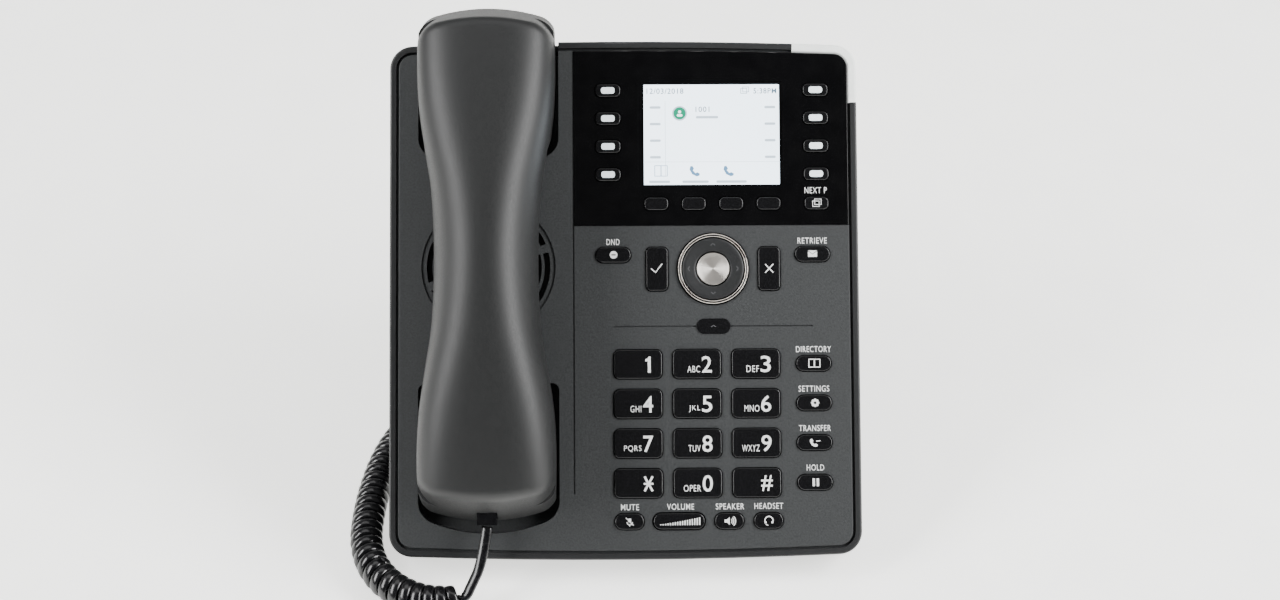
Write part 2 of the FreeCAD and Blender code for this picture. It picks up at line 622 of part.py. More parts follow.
speaker = new_body("loudspeaker")
sketch = new_sketch(speaker, level="-cover_thickness")
circle(sketch, "cradle_centre", "grille_row", "speaker_radius")
pad(speaker, sketch, "speaker_flange", reverse=True)
sketch = new_sketch(speaker, level="-cover_thickness - speaker_flange")
circle(sketch, "cradle_centre", "grille_row", "magnet_radius")
pad(speaker, sketch, "magnet_depth - cover_thickness - speaker_flange", reverse=True)
sketch = new_sketch(speaker, level="-cover_thickness")
circle(sketch, "cradle_centre", "grille_row", "speaker_radius - 1.5")
pocket(speaker, sketch, "1.2")

hook = new_body("hook_switch")
hook_foot = "-well_depth - well_wall - hook_travel"
sketch = new_sketch(hook, level=hook_foot)
rounded_rectangle(sketch, "cradle_centre", "hook_row", "(hook_width + 4)", "(hook_height + 4)", "1")
pad(hook, sketch, "2", reverse=True)
sketch = new_sketch(hook, level=hook_foot)
rounded_rectangle(sketch, "cradle_centre", "hook_row", "hook_width", "hook_height", "1")
pad(hook, sketch, "well_wall + hook_travel + 0.9")

# ---------------------------------------------------------------- screws and feet
screws = new_body("cover_screws")
sketch = new_sketch(screws, level="-housing_depth - screw_head_depth")
for x, y in SCREWS:
    circle(sketch, x, y, "screw_head")
pad(screws, sketch, "screw_head_depth")
sketch = new_sketch(screws, level="-housing_depth - screw_head_depth")
for x, y in SCREWS:
    circle(sketch, x, y, "screw_radius")
pad(screws, sketch, "screw_head_depth + 12")

# ---------------------------------------------------------------- foot stand
# A moulded wedge clipped to the rear cover: two cheeks, a sloping web and a foot plate.
# desk_line gives the face coordinates of a point at a given depth and height over the desk.


def desk_line(depth, height):
    rise = f"(({height}) - stand_off)"
    return (f"(({depth}) * cos(tilt * 1deg) + {rise} * sin(tilt * 1deg))",
            f"({rise} * cos(tilt * 1deg) - ({depth}) * sin(tilt * 1deg))")


stand_back, stand_front = "166", "146"
stand = new_body("foot_stand")
sketch = new_sketch(stand, role="YZ_Plane")
polygon(sketch, [("stand_low", "-housing_depth"), ("stand_high", "-housing_depth"),
                 desk_line(stand_back, "foot_height"), desk_line(stand_front, "foot_height")][::-1])
pad(stand, sketch, "stand_width", both=True)
sketch = new_sketch(stand, role="YZ_Plane")
polygon(sketch, [("stand_low - 12", "-housing_depth + 6"), ("stand_high - 4", "-housing_depth + 6"),
                 ("stand_high - 4", "-housing_depth"),
                 desk_line(f"{stand_back} - stand_skin", "foot_height + stand_skin"),
                 desk_line(f"{stand_front} - 30", "foot_height + stand_skin")][::-1])
pocket(stand, sketch, "stand_width - 2 * cheek", both=True)
sketch = new_sketch(stand, level="-housing_depth - 3")
for x, y in HOOKS:
    polygon(sketch, [(f"{x} - 6", f"{y} - 1.5"), (f"{x} + 6", f"{y} - 1.5"),
                     (f"{x} + 6", f"{y} + 1.5"), (f"{x} - 6", f"{y} + 1.5")])
pad(stand, sketch, "5.5")
sketch = new_sketch(stand, level="-housing_depth - 3")
polygon(sketch, [("-stand_width / 2", "146"), ("stand_width / 2", "146"),
                 ("stand_width / 2", "180"), ("-stand_width / 2", "180")])
pad(stand, sketch, "3")

feet = []
for x in (-1, 1):
    for depth, reach in ((19.8, 78), (156, 54)):
        foot = doc.addObject("Part::Cylinder", "foot")
        set_size(foot, "Radius", "foot_radius")
        set_size(foot, "Height", "foot_height")
        foot.Placement = FreeCAD.Placement(Vector(x * reach, value("origin_shift") + depth, 0),
                                           FreeCAD.Rotation())
        feet.append(foot)
rubber_feet = doc.addObject("Part::Compound", "rubber_feet")
rubber_feet.Label = "rubber_feet"
rubber_feet.Links = feet

# ---------------------------------------------------------------- handset
# Two moulded shells that meet on a flat parting line, pinched in the middle for the hand.
MIDDLE = 117.5                    # half way along the handset
PART_LINE = 14.0                  # height of the parting line over the face
SHELL = 2.4                       # moulding thickness
CUP_FOOT = -7.0                   # ear and mouth cups reach this far into their wells
GRIP_FOOT = 11.0                  # underside of the grip
GRIP_REACH, GRIP_SLANT = 52, 8    # where the cups start to drop from the middle, and their slope
GRIP_TOOL_HALF = 60               # wider than the handset, so that the cut goes right through
END_LEAN = 10.5 / 30              # how fast the end faces draw in towards the back
LEAN_START = 4.0                  # below this height the end faces stand upright
END_BOW = 72.0                    # radius of the end faces seen from the front
END_CORNER = 9.0                  # radius of their corners seen from the front
END_SIDE = 27.3                   # the corners start this far from the middle
TOP_END, LOW_END = 221.0, 14.6    # where the end faces would cross the face plane
# distance from the middle, half width, height of the back
STATIONS = [(0, 20.3, 38.6), (26, 21.3, 38.0), (42, 23.6, 36.9), (58, 25.9, 35.2), (74, 26.8, 33.0),
            (88, 26.7, 30.4), (110, 26.0, 25.8)]


def section(along, half, top, base):
    """Arched cross-section of the back shell: upright sides that roll over a wide crown."""
    def at(x, z):
        return Vector(value("cradle_centre") + x, along, z)
    shoulder = base + (top - base) * 0.62
    crown = Part.BSplineCurve()
    crown.interpolate([at(-half, base), at(-half * 0.965, base + (shoulder - base) * 0.62),
                       at(-half * 0.80, shoulder + (top - shoulder) * 0.42),
                       at(-half * 0.45, top - (top - base) * 0.06), at(0, top),
                       at(half * 0.45, top - (top - base) * 0.06),
                       at(half * 0.80, shoulder + (top - shoulder) * 0.42),
                       at(half * 0.965, base + (shoulder - base) * 0.62), at(half, base)])
    return Part.Wire([crown.toShape(), Part.makeLine(at(half, base), at(-half, base))])


def back_form(inset):
    stations = [(MIDDLE - d, w, z) for d, w, z in reversed(STATIONS[1:])]
    stations += [(MIDDLE + d, w, z) for d, w, z in STATIONS]
    return Part.makeLoft([section(y, w - inset, z - inset, PART_LINE) for y, w, z in stations],
                         True, False)


def end_block(inset):
    """Leaning prism between the two bowed end faces, with round corners."""
    middle = value("cradle_centre")
    half, radius = END_SIDE - inset, END_CORNER - inset
    reach = math.sqrt((END_BOW - radius) ** 2 - (half - radius) ** 2)

    def corner(side, end, bow_row, level):
        """Where the bow ends, half way round the corner, and where the side starts."""
        centre = Vector(middle + side * (half - radius), bow_row + end * reach, level)
        outward = Vector(side * (half - radius), end * reach, 0).normalize()
        across = Vector(side, 0, 0)
        return [centre + along * radius for along in (outward, (outward + across).normalize(), across)]

    def outline(level):
        lean = max(level, LEAN_START) * END_LEAN
        low, high = LOW_END + inset + lean, TOP_END - inset - lean
        low_right, high_right = corner(1, -1, low + END_BOW, level), corner(1, 1, high - END_BOW, level)
        low_left, high_left = corner(-1, -1, low + END_BOW, level), corner(-1, 1, high - END_BOW, level)
        return Part.Wire([
            Part.Arc(low_left[0], Vector(middle, low, level), low_right[0]).toShape(),
            Part.Arc(*low_right).toShape(), Part.makeLine(low_right[2], high_right[2]),
            Part.Arc(*high_right[::-1]).toShape(),
            Part.Arc(high_right[0], Vector(middle, high, level), high_left[0]).toShape(),
            Part.Arc(*high_left).toShape(), Part.makeLine(high_left[2], low_left[2]),
            Part.Arc(*low_left[::-1]).toShape()])
    return Part.makeLoft([outline(level) for level in (-12.0, LEAN_START, 60.0)], True, True)


def front_form(inset):
    """Outline of the handset drawn straight down from the parting line."""
    x = value("cradle_centre")
    stations = [(MIDDLE - d, w) for d, w, z in reversed(STATIONS[1:])]
    stations += [(MIDDLE + d, w) for d, w, z in STATIONS]
    right = Part.BSplineCurve()
    right.interpolate([Vector(x + w - inset, y, 0) for y, w in stations])
    left = Part.BSplineCurve()
    left.interpolate([Vector(x - w + inset, y, 0) for y, w in reversed(stations)])
    first, last = stations[0], stations[-1]
    last_half, first_half = last[1] - inset, first[1] - inset
    top = Part.makeLine(Vector(x + last_half, last[0], 0), Vector(x - last_half, last[0], 0))
    low = Part.makeLine(Vector(x - first_half, first[0], 0), Vector(x + first_half, first[0], 0))
    face = Part.Face(Part.Wire([right.toShape(), top, left.toShape(), low]))
    face.translate(Vector(0, 0, CUP_FOOT + inset))
    return face.extrude(Vector(0, 0, PART_LINE - CUP_FOOT - inset))


def grip_tool(inset):
    """What is taken from under the front shell between its two cups."""
    foot, ceiling = CUP_FOOT - 1, GRIP_FOOT + inset
    reach = GRIP_REACH + inset
    sides = [(-reach, foot), (GRIP_SLANT - reach, ceiling), (reach - GRIP_SLANT, ceiling), (reach, foot)]
    x = value("cradle_centre") - GRIP_TOOL_HALF
    corners = [Vector(x, MIDDLE + y, z) for y, z in sides]
    return Part.Face(Part.makePolygon(corners + corners[:1])).extrude(Vector(2 * GRIP_TOOL_HALF, 0, 0))


def solid_feature(name, shape):
    holder = doc.addObject("Part::Feature", name)
    holder.Label = name
    holder.Shape = shape
    holder.Placement = face_placement()
    return holder


back_shell = back_form(0).common(end_block(0))
back_shell = back_shell.cut(back_form(SHELL).common(end_block(SHELL)))
handset_back = solid_feature("handset_back_shell", back_shell)

front_shell = front_form(0).common(end_block(0)).cut(grip_tool(0))
hollow = front_form(SHELL).common(end_block(SHELL)).cut(grip_tool(SHELL))
front_shell = front_shell.cut(hollow)
# the cord's socket in the lower end, and a ring of sound holes in each cup
cx = value("cradle_centre")
socket_low, socket_high = 4.6, 13.4
socket_block = Part.makeBox(12.4, 15, 12.2, Vector(cx - 6.2, 17.0, 3.0))
socket_block = socket_block.common(front_form(0)).common(end_block(0.3))
front_shell = front_shell.fuse(socket_block)
front_shell = front_shell.cut(Part.makeBox(8.0, 20, socket_high - socket_low,
                                           Vector(cx - 4.0, 8.0, socket_low)))
for along in (MIDDLE - 74, MIDDLE + 74):
    for i in range(6):
        turn = math.radians(60 * i)
        hole = Part.makeCylinder(1.0, SHELL + 2, Vector(cx + 6 * math.cos(turn),
                                                        along + 6 * math.sin(turn), CUP_FOOT - 1))
        front_shell = front_shell.cut(hole)
handset_front = solid_feature("handset_front_shell", front_shell)

CUP_FLOOR = CUP_FOOT + SHELL
receiver = Part.makeCylinder(16, 5.5, Vector(cx, MIDDLE + 74, CUP_FLOOR))
handset_receiver = solid_feature("handset_receiver", receiver)
microphone = Part.makeCylinder(4.9, 6.5, Vector(cx, MIDDLE - 74, CUP_FLOOR))
handset_microphone = solid_feature("handset_microphone", microphone)

# ---------------------------------------------------------------- cord
# A flat lead, a long coil lying on the desk beside the telephone, and a second lead to the back.
PLUG_GAP = 0.2
plug_tip, plug_tail = 27.5, 14.5
plug_low = socket_low + PLUG_GAP
plug_shape = Part.makeBox(value("plug_width"), plug_tip - plug_tail, value("plug_height"),
                          Vector(cx - value("plug_width") / 2, plug_tail, plug_low + 0.8))
plug_handset = solid_feature("cord_plug_handset", plug_shape)
base_x = 46.0
base_tail = -value("housing_depth") - 3.0
base_shape = Part.makeBox(value("plug_width"), value("plug_height"), value("plug_length"),
                          Vector(base_x - value("plug_width") / 2,
                                 value("socket_row") - value("plug_height") / 2, base_tail))
plug_base = solid_feature("cord_plug_base", base_shape)


def smooth_tube(points, radius):
    """Round tube along straight runs joined by tangent arcs, with its volume compared."""
    corners = [Vector(*p) for p in points]
    edges = []
    start = corners[0]
    for before, corner, after in zip(corners, corners[1:], corners[2:]):
        into, out = corner - before, after - corner
        turn = into.getAngle(out)
        bend = 0.45 * min(into.Length, out.Length) / math.tan(turn / 2)
        cut = bend * math.tan(turn / 2)
        first = corner - into.normalize() * cut
        last = corner + out.normalize() * cut
        towards = ((first + last) * 0.5 - corner).normalize()
        middle = corner + towards * (bend / math.cos(turn / 2) - bend)
        edges.append(Part.LineSegment(start, first).toShape())
        edges.append(Part.Arc(first, middle, last).toShape())
        start = last
        print(f"  radius {bend:.1f}  run {(corner - before).Length:.1f}")
    edges.append(Part.LineSegment(start, corners[-1]).toShape())
    path = Part.Wire(edges)
    direction = corners[1] - corners[0]
    profile = Part.Wire(Part.Circle(corners[0], direction, radius).toShape())
    tube = path.makePipeShell([profile], True, False)
    expected = math.pi * radius ** 2 * path.Length
    print(f"  length {path.Length:.1f}  volume ratio {tube.Volume / expected:.4f}")
    return tube


def standing(x, y, z):
    """Point of the standing telephone from depth and height measured at its lower front edge."""
    return (x, y + value("origin_shift"), z)


def from_face(x, y, z):
    place = face_placement().multVec(Vector(x, y, z))
    return (place.x, place.y, place.z)


lead_radius = value("lead_width / 2")
coil_radius = value("coil_width / 2")
# The coil rests on the desk: out in front, round the left side, then in under the telephone.
coil_route = [standing(x, y, coil_radius) for x, y in (
    (-63.0, -15.8), (-76.0, -17.6), (-89.5, -11.5), (-99.5, -0.5), (-104.3, 13.5), (-104.4, 30.0),
    (-102.8, 46.5), (-99.6, 62.5), (-93.5, 77.5), (-83.5, 91.0), (-69.5, 100.5), (-53.5, 105.0),
    (-36.5, 105.8), (-19.5, 103.0), (-3.0, 98.8), (13.5, 96.6), (29.0, 96.4))]
# Each lead leaves its plug along the plug's own axis.
LEAD_GAP = 0.3
lead_level = plug_low + 4.1
front_lead = [from_face(cx, plug_tail - LEAD_GAP, lead_level), from_face(cx, -1.7, lead_level),
              standing(-57.1, -12.1, 10.8), standing(-63.0, -15.8, coil_radius)]
back_lead = [from_face(base_x, value("socket_row"), base_tail),
             from_face(base_x, value("socket_row"), base_tail - 12.4), standing(48.0, 89.3, 18.9),
             standing(38.4, 93.1, 8.5), standing(29.0, 96.4, coil_radius)]
print("coil")
coil_shape = smooth_tube(coil_route, coil_radius)
print("front lead")
front_tube = smooth_tube(front_lead, lead_radius)
print("back lead")
back_tube = smooth_tube(back_lead, lead_radius)
cord_coil = doc.addObject("Part::Feature", "cord_coil")
cord_coil.Label = "cord_coil"
cord_coil.Shape = coil_shape
leads_shape = Part.makeCompound([front_tube.cut(coil_shape), back_tube.cut(coil_shape)])
cord_leads = doc.addObject("Part::Feature", "cord_leads")
cord_leads.Label = "cord_leads"
cord_leads.Shape = leads_shape

# ---------------------------------------------------------------- check and write
doc.recompute()
for thing in doc.Objects:
    if "Invalid" in thing.State or "Error" in thing.State:
        raise RuntimeError(f"{thing.Label} failed: {thing.State}")
HELPERS = {"rear_tub", "lamp_seat", "lamp_ring"}
nodes = [b for b in doc.findObjects("PartDesign::Body") if b.Label not in HELPERS]
nodes += [rear_cover, message_lamp, rubber_feet, handset_back, handset_front, handset_receiver,
          handset_microphone, plug_handset, plug_base, cord_coil, cord_leads]
os.makedirs("parts", exist_ok=True)
extent = FreeCAD.BoundBox()
for node in nodes:
    shape = node.Shape
    if shape.isNull() or not shape.isValid():
        raise RuntimeError(f"{node.Label} has no valid shape")
    if not node.Label.startswith("cord_"):
        extent.add(shape.optimalBoundingBox(True, False))
    shape.exportStep(f"parts/{node.Label}.step")
    print(f"{node.Label:22s} solids {len(shape.Solids)}  volume {shape.Volume:10.1f}")
middle = extent.Center
print(f"{len(nodes)} nodes; middle {middle.x:.3f} {middle.y:.3f}; lowest {extent.ZMin:.4f}")
print(f"size {extent.XLength:.1f} {extent.YLength:.1f} {extent.ZLength:.1f}")
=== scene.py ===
import math

import bpy
from mathutils import Matrix, Vector


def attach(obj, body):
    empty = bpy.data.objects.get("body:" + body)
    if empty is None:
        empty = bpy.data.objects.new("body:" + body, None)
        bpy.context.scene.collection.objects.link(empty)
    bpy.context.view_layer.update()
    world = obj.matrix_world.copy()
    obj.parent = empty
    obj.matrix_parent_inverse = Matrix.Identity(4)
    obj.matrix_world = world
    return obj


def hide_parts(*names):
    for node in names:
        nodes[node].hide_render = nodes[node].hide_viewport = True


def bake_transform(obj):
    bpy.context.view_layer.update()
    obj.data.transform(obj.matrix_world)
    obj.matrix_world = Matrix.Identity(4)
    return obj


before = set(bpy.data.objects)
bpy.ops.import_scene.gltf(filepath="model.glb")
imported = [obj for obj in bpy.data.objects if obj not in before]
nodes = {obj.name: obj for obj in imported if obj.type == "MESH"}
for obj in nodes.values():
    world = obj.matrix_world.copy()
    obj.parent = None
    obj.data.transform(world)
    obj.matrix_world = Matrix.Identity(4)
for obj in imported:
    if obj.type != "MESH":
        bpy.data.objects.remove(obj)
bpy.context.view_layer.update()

# ---------------------------------------------------------------- view and light
# The telephone stands on a pale table top in a white studio. A wide soft lamp hangs above and
# behind it, and a soft box runs along each side of its sloping face.
camera_data = bpy.data.cameras.new("view")
camera_data.lens = 56.53
camera_data.sensor_width = 36
camera = bpy.data.objects.new("view", camera_data)
right = Vector((0.999893, -0.013766, 0.004907))
up = Vector((0.005321, 0.655722, 0.754982))
turn = Matrix((right, up, right.cross(up))).transposed()
camera.matrix_world = Matrix.Translation((-0.00477, -0.61272, 0.60885)) @ turn.to_4x4()
bpy.context.scene.collection.objects.link(camera)
bpy.context.scene.camera = camera


def linear(code):
    """The linear colour a shader takes, from an sRGB hex value."""
    parts = [int(code[i:i + 2], 16) / 255 for i in (1, 3, 5)]
    return tuple(c / 12.92 if c <= 0.04045 else ((c + 0.055) / 1.055) ** 2.4
                 for c in parts) + (1.0,)


def soft_lamp(name, place, aim, width, height, watts, roll=0):
    """Rectangular soft box aimed at a point and turned about its own axis by roll degrees."""
    lamp = bpy.data.lights.new(name, "AREA")
    lamp.shape = "RECTANGLE"
    lamp.size, lamp.size_y, lamp.energy = width, height, watts
    holder = bpy.data.objects.new(name, lamp)
    holder.location = place
    facing = (Vector(aim) - Vector(place)).to_track_quat("-Z", "Y").to_matrix()
    holder.rotation_euler = (facing @ Matrix.Rotation(math.radians(roll), 3, "Z")).to_euler()
    bpy.context.scene.collection.objects.link(holder)


soft_lamp("lamp_above", (0.1, 0.6, 1.7), (0, 0, 0), 2.2, 1.0, 11)
# The side boxes run up along the slope of the face, which they light evenly from low to high.
for name, across, watts in (("lamp_left", -1.1, 30), ("lamp_right", 1.1, 40)):
    soft_lamp(name, (across, -0.3, 0.9), (0, 0, 0.1), 1.3, 0.5, watts, math.copysign(45, across))

world = bpy.data.worlds.new("studio")
world.use_nodes = True
bpy.context.scene.world = world


def add_node(tree, kind, inputs=None, **settings):
    """Add one shader node with its settings; inputs are values or the sockets that feed it."""
    made = tree.nodes.new("ShaderNode" + kind)
    for name, setting in settings.items():
        setattr(made, name, setting)
    for socket, source in (inputs or {}).items():
        if isinstance(source, bpy.types.NodeSocket):
            tree.links.new(source, made.inputs[socket])
        else:
            made.inputs[socket].default_value = source
    return made


# The studio is a white sweep near the table's level that fades to a dim ceiling, and it is dimmer
# in front of the telephone than behind it.
studio = world.node_tree
background = studio.nodes["Background"]
heading = add_node(studio, "SeparateXYZ",
                   {"Vector": add_node(studio, "TexCoord").outputs["Generated"]}).outputs
sweep = add_node(studio, "ValToRGB", {"Fac": heading["Z"]})
for stop, height, grey in zip(sweep.color_ramp.elements, (0.0, 0.42), (0.9, 0.2)):
    stop.position, stop.color = height, (grey, grey, grey, 1)
dimming = add_node(studio, "MapRange", {"Value": heading["Y"], "From Min": -0.5, "From Max": 0.5,
                                        "To Min": 0.45, "To Max": 1.0})
studio.links.new(sweep.outputs["Color"], background.inputs["Color"])
studio.links.new(dimming.outputs["Result"], background.inputs["Strength"])


def new_material(name, colour, roughness, metallic=0.0, ior=1.5, **extra):
    """A named material with its principled shader set; returns it with its tree and shader."""
    made = bpy.data.materials.new(name)
    made.use_nodes = True
    shader = made.node_tree.nodes["Principled BSDF"]
    shader.inputs["Base Color"].default_value = linear(colour)
    shader.inputs["Roughness"].default_value = roughness
    shader.inputs["Metallic"].default_value = metallic
    if not metallic:
        shader.inputs["IOR"].default_value = ior
    for socket, setting in extra.items():
        shader.inputs[socket.replace("_", " ")].default_value = setting
    return made, made.node_tree, shader


def glow(shader, colour, strength):
    """Let a surface give off light of its own."""
    shader.inputs["Emission Color"].default_value = linear(colour)
    shader.inputs["Emission Strength"].default_value = strength


def millimetres(size):
    """Texture scale that gives one feature about every size millimetres."""
    return 1000 / size


def grained(made, tree, shader, dark, light, grain, relief, low, high, detail=2.0):
    """Give a moulded surface its grain: colour, gloss and relief vary over grain millimetres."""
    place = add_node(tree, "TexCoord").outputs["Object"]
    noise = add_node(tree, "TexNoise", {"Vector": place, "Scale": millimetres(grain),
                                        "Detail": detail, "Roughness": 0.6})
    tint = add_node(tree, "ValToRGB", {"Fac": noise.outputs["Fac"]})
    for stop, position, colour in zip(tint.color_ramp.elements, (0.35, 0.65), (dark, light)):
        stop.position, stop.color = position, linear(colour)
    tree.links.new(tint.outputs["Color"], shader.inputs["Base Color"])
    gloss = add_node(tree, "MapRange", {"Value": noise.outputs["Fac"], "From Min": 0.3,
                                        "From Max": 0.7, "To Min": low, "To Max": high})
    tree.links.new(gloss.outputs["Result"], shader.inputs["Roughness"])
    if relief:
        bump = add_node(tree, "Bump", {"Height": noise.outputs["Fac"], "Strength": 1.0,
                                       "Distance": relief / 1000})
        tree.links.new(bump.outputs["Normal"], shader.inputs["Normal"])
    return made


# Matt laminate table top: nearly white, with a faint unevenness. It glows a little, as a table
# does that is lit through from below.
laminate, *laminate_nodes = new_material("matt laminate", "#f4f4f2", 0.6)
grained(laminate, *laminate_nodes, "#f1f1ef", "#f5f5f3", 30, 0, 0.55, 0.65)
glow(laminate_nodes[-1], "#fffffb", 1.3)
TABLE = 30                        # half the table's width in metres, so that it has no near edge
table_mesh = bpy.data.meshes.new("table_top")
table_mesh.from_pydata([(-TABLE, -TABLE, 0), (TABLE, -TABLE, 0), (TABLE, TABLE, 0),
                        (-TABLE, TABLE, 0)], [], [(0, 1, 2, 3)])
table_mesh.materials.append(laminate)
table = bpy.data.objects.new("table_top", table_mesh)
bpy.context.scene.collection.objects.link(table)

# ---------------------------------------------------------------- handset cord
# A flat telephone lead of glossy black vinyl, wound hot on a rod so that it springs back into a
# coil. It leaves the handset, lies on the table round the left side and ends in the back.
LEAD_WIDTH, LEAD_THICKNESS = 0.0043, 0.0025
COIL_RADIUS = 0.0054              # from the coil's middle to the middle of the lead
PITCH = 0.0045
STEPS_A_TURN, STRAIGHT_STEP = 16, 0.001
GROWTH = 0.006                    # stretch over which the coil grows to its full width
front_points = [(-0.0541, -0.077985, 0.027722), (-0.0562, -0.0880, 0.0175),
                (-0.0605, -0.0938, 0.0108)]
coil_points = [(-0.063, -0.097321, 0.0068), (-0.076, -0.099121, 0.0068),
               (-0.0895, -0.093021, 0.0068), (-0.0995, -0.082021, 0.0068),
               (-0.1043, -0.068021, 0.0068), (-0.1044, -0.051521, 0.0068),
               (-0.1028, -0.035021, 0.0068), (-0.0996, -0.019021, 0.0068),
               (-0.0935, -0.004021, 0.0068), (-0.0835, 0.009479, 0.0068),
               (-0.0695, 0.018979, 0.0068), (-0.0535, 0.023479, 0.0068),
               (-0.0365, 0.024279, 0.0068), (-0.0195, 0.021479, 0.0068),
               (-0.003, 0.017279, 0.0068), (0.0135, 0.015079, 0.0068), (0.029, 0.014879, 0.0068)]
back_points = [(0.0384, 0.011579, 0.0085), (0.048, 0.007779, 0.0189),
               (0.046, 0.005736, 0.037480), (0.046, -0.003032, 0.046248)]


def nurbs_line(points):
    """Points along a smooth line that has these as its control points."""
    curve = bpy.data.curves.new("route", "CURVE")
    curve.dimensions = "3D"
    curve.resolution_u = 24
    spline = curve.splines.new("NURBS")
    spline.points.add(len(points) - 1)
    for control, place in zip(spline.points, points):
        control.co = (*place, 1)
    spline.order_u = 3
    spline.use_endpoint_u = True
    holder = bpy.data.objects.new("route", curve)
    bpy.context.scene.collection.objects.link(holder)
    mesh = bpy.data.meshes.new_from_object(holder)
    line = [vertex.co.copy() for vertex in mesh.vertices]
    bpy.data.objects.remove(holder)
    bpy.data.meshes.remove(mesh)
    return line


route = nurbs_line(front_points + coil_points + back_points)
reach = [0.0]
for before, after in zip(route, route[1:]):
    reach.append(reach[-1] + (after - before).length)


def along(distance):
    """Point of the route at a distance from its start."""
    distance = min(max(distance, 0), reach[-1])
    i = max(j for j in range(len(reach) - 1) if reach[j] <= distance)
    span = reach[i + 1] - reach[i]
    return route[i].lerp(route[i + 1], (distance - reach[i]) / span if span else 0)


def nearest_reach(place):
    """Distance along the route of its point nearest to a place."""
    return min(zip(reach, route), key=lambda pair: (pair[1] - Vector(place)).length)[0]


def ease(x):
    """Smooth step from 0 to 1."""
    x = min(max(x, 0), 1)
    return x * x * (3 - 2 * x)


coil_start, coil_end = nearest_reach(coil_points[0]), nearest_reach(coil_points[-1])
wire = []                          # point on the lead's centre line, direction of its thickness
distance = 0.0
while distance < reach[-1]:
    ahead = (along(distance + 0.0006) - along(distance - 0.0006)).normalized()
    lift = (Vector((0, 0, 1)) - ahead * ahead.z).normalized()
    side = ahead.cross(lift)
    swing = 2 * math.pi * max(0, min(distance, coil_end) - coil_start) / PITCH
    radial = lift * math.cos(swing) + side * math.sin(swing)
    grown = ease((distance - coil_start) / GROWTH) * ease((coil_end - distance) / GROWTH)
    wire.append((along(distance) + radial * COIL_RADIUS * grown, radial))
    in_coil = coil_start - PITCH / STEPS_A_TURN <= distance < coil_end
    distance += PITCH / STEPS_A_TURN if in_coil else STRAIGHT_STEP


def lead_mesh(name, stretch, sides=12, roundness=0.8):
    """Flat lead with round edges along a stretch of the wire."""
    points, faces = [], []
    for i, (place, radial) in enumerate(stretch):
        before, after = stretch[max(i - 1, 0)][0], stretch[min(i + 1, len(stretch) - 1)][0]
        ahead = (after - before).normalized()
        flat = (radial - ahead * radial.dot(ahead)).normalized()
        across = ahead.cross(flat)
        for j in range(sides):
            angle = 2 * math.pi * j / sides
            c, s = math.cos(angle), math.sin(angle)
            wide = math.copysign(abs(c) ** roundness, c) * LEAD_WIDTH / 2
            thick = math.copysign(abs(s) ** roundness, s) * LEAD_THICKNESS / 2
            points.append(place + across * wide + flat * thick)
    for i in range(len(stretch) - 1):
        for j in range(sides):
            k = (j + 1) % sides
            faces.append((i * sides + j, i * sides + k, (i + 1) * sides + k, (i + 1) * sides + j))
    last = (len(stretch) - 1) * sides
    faces += [tuple(reversed(range(sides))), tuple(range(last, last + sides))]
    mesh = bpy.data.meshes.new(name)
    mesh.from_pydata(points, [], faces)
    mesh.polygons.foreach_set("use_smooth", [True] * len(mesh.polygons))
    mesh.update()
    made = bpy.data.objects.new(name, mesh)
    bpy.context.scene.collection.objects.link(made)
    return made


# Glossy soft vinyl: smooth and black, with a sharp highlight along every turn.
vinyl, *vinyl_nodes = new_material("soft vinyl", "#0b0b0c", 0.22, ior=1.53)
grained(vinyl, *vinyl_nodes, "#08080a", "#101012", 1.2, 0.004, 0.16, 0.28)

TURNS_THAT_STRETCH = 9
split = round(coil_start / STRAIGHT_STEP) + TURNS_THAT_STRETCH * STEPS_A_TURN
front_cord = lead_mesh("cord_at_handset", wire[:split + 1])
back_cord = lead_mesh("cord_at_base", wire[split:])
for cord_piece in (front_cord, back_cord):
    cord_piece.data.materials.append(vinyl)
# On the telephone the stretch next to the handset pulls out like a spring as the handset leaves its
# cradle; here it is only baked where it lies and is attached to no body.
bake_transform(front_cord)
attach(back_cord, "root")
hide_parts("cord_coil")
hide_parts("cord_leads")

# ---------------------------------------------------------------- housing
# Two mouldings of black ABS: the rear cover, whose rim frames the face, and the front cover set
# into it. The face is spark-eroded in the mould, so it is matt with a fine even grain.
# Sizes from here on are millimetres on the face: u across, v up from its lower edge, n out of it.
FACE = (Matrix.Translation((0, -0.081521, 0.0116)) @ Matrix.Rotation(math.radians(45), 4, "X")
        @ Matrix.Scale(0.001, 4))


def finish_node(name, surface):
    """Give a node its material."""
    node = nodes[name]
    node.data.materials.clear()
    node.data.materials.append(surface)


# Spark-eroded ABS: charcoal, matt, 0.5 mm grain drawn a little coarse so that it shows.
eroded_abs = grained(*new_material("spark eroded ABS", "#252728", 0.6), "#1d1f20", "#2c2e2f", 0.7,
                     0.05, 0.52, 0.68, 4.0)
# Plain moulded ABS: the same plastic from a smoother mould, satin.
satin_abs = grained(*new_material("satin moulded ABS", "#18191a", 0.46), "#151617", "#1b1c1d", 0.5,
                    0.012, 0.4, 0.52)
finish_node("front_cover", eroded_abs)
for name in ("rear_cover", "foot_stand", "hook_switch"):
    finish_node(name, satin_abs)


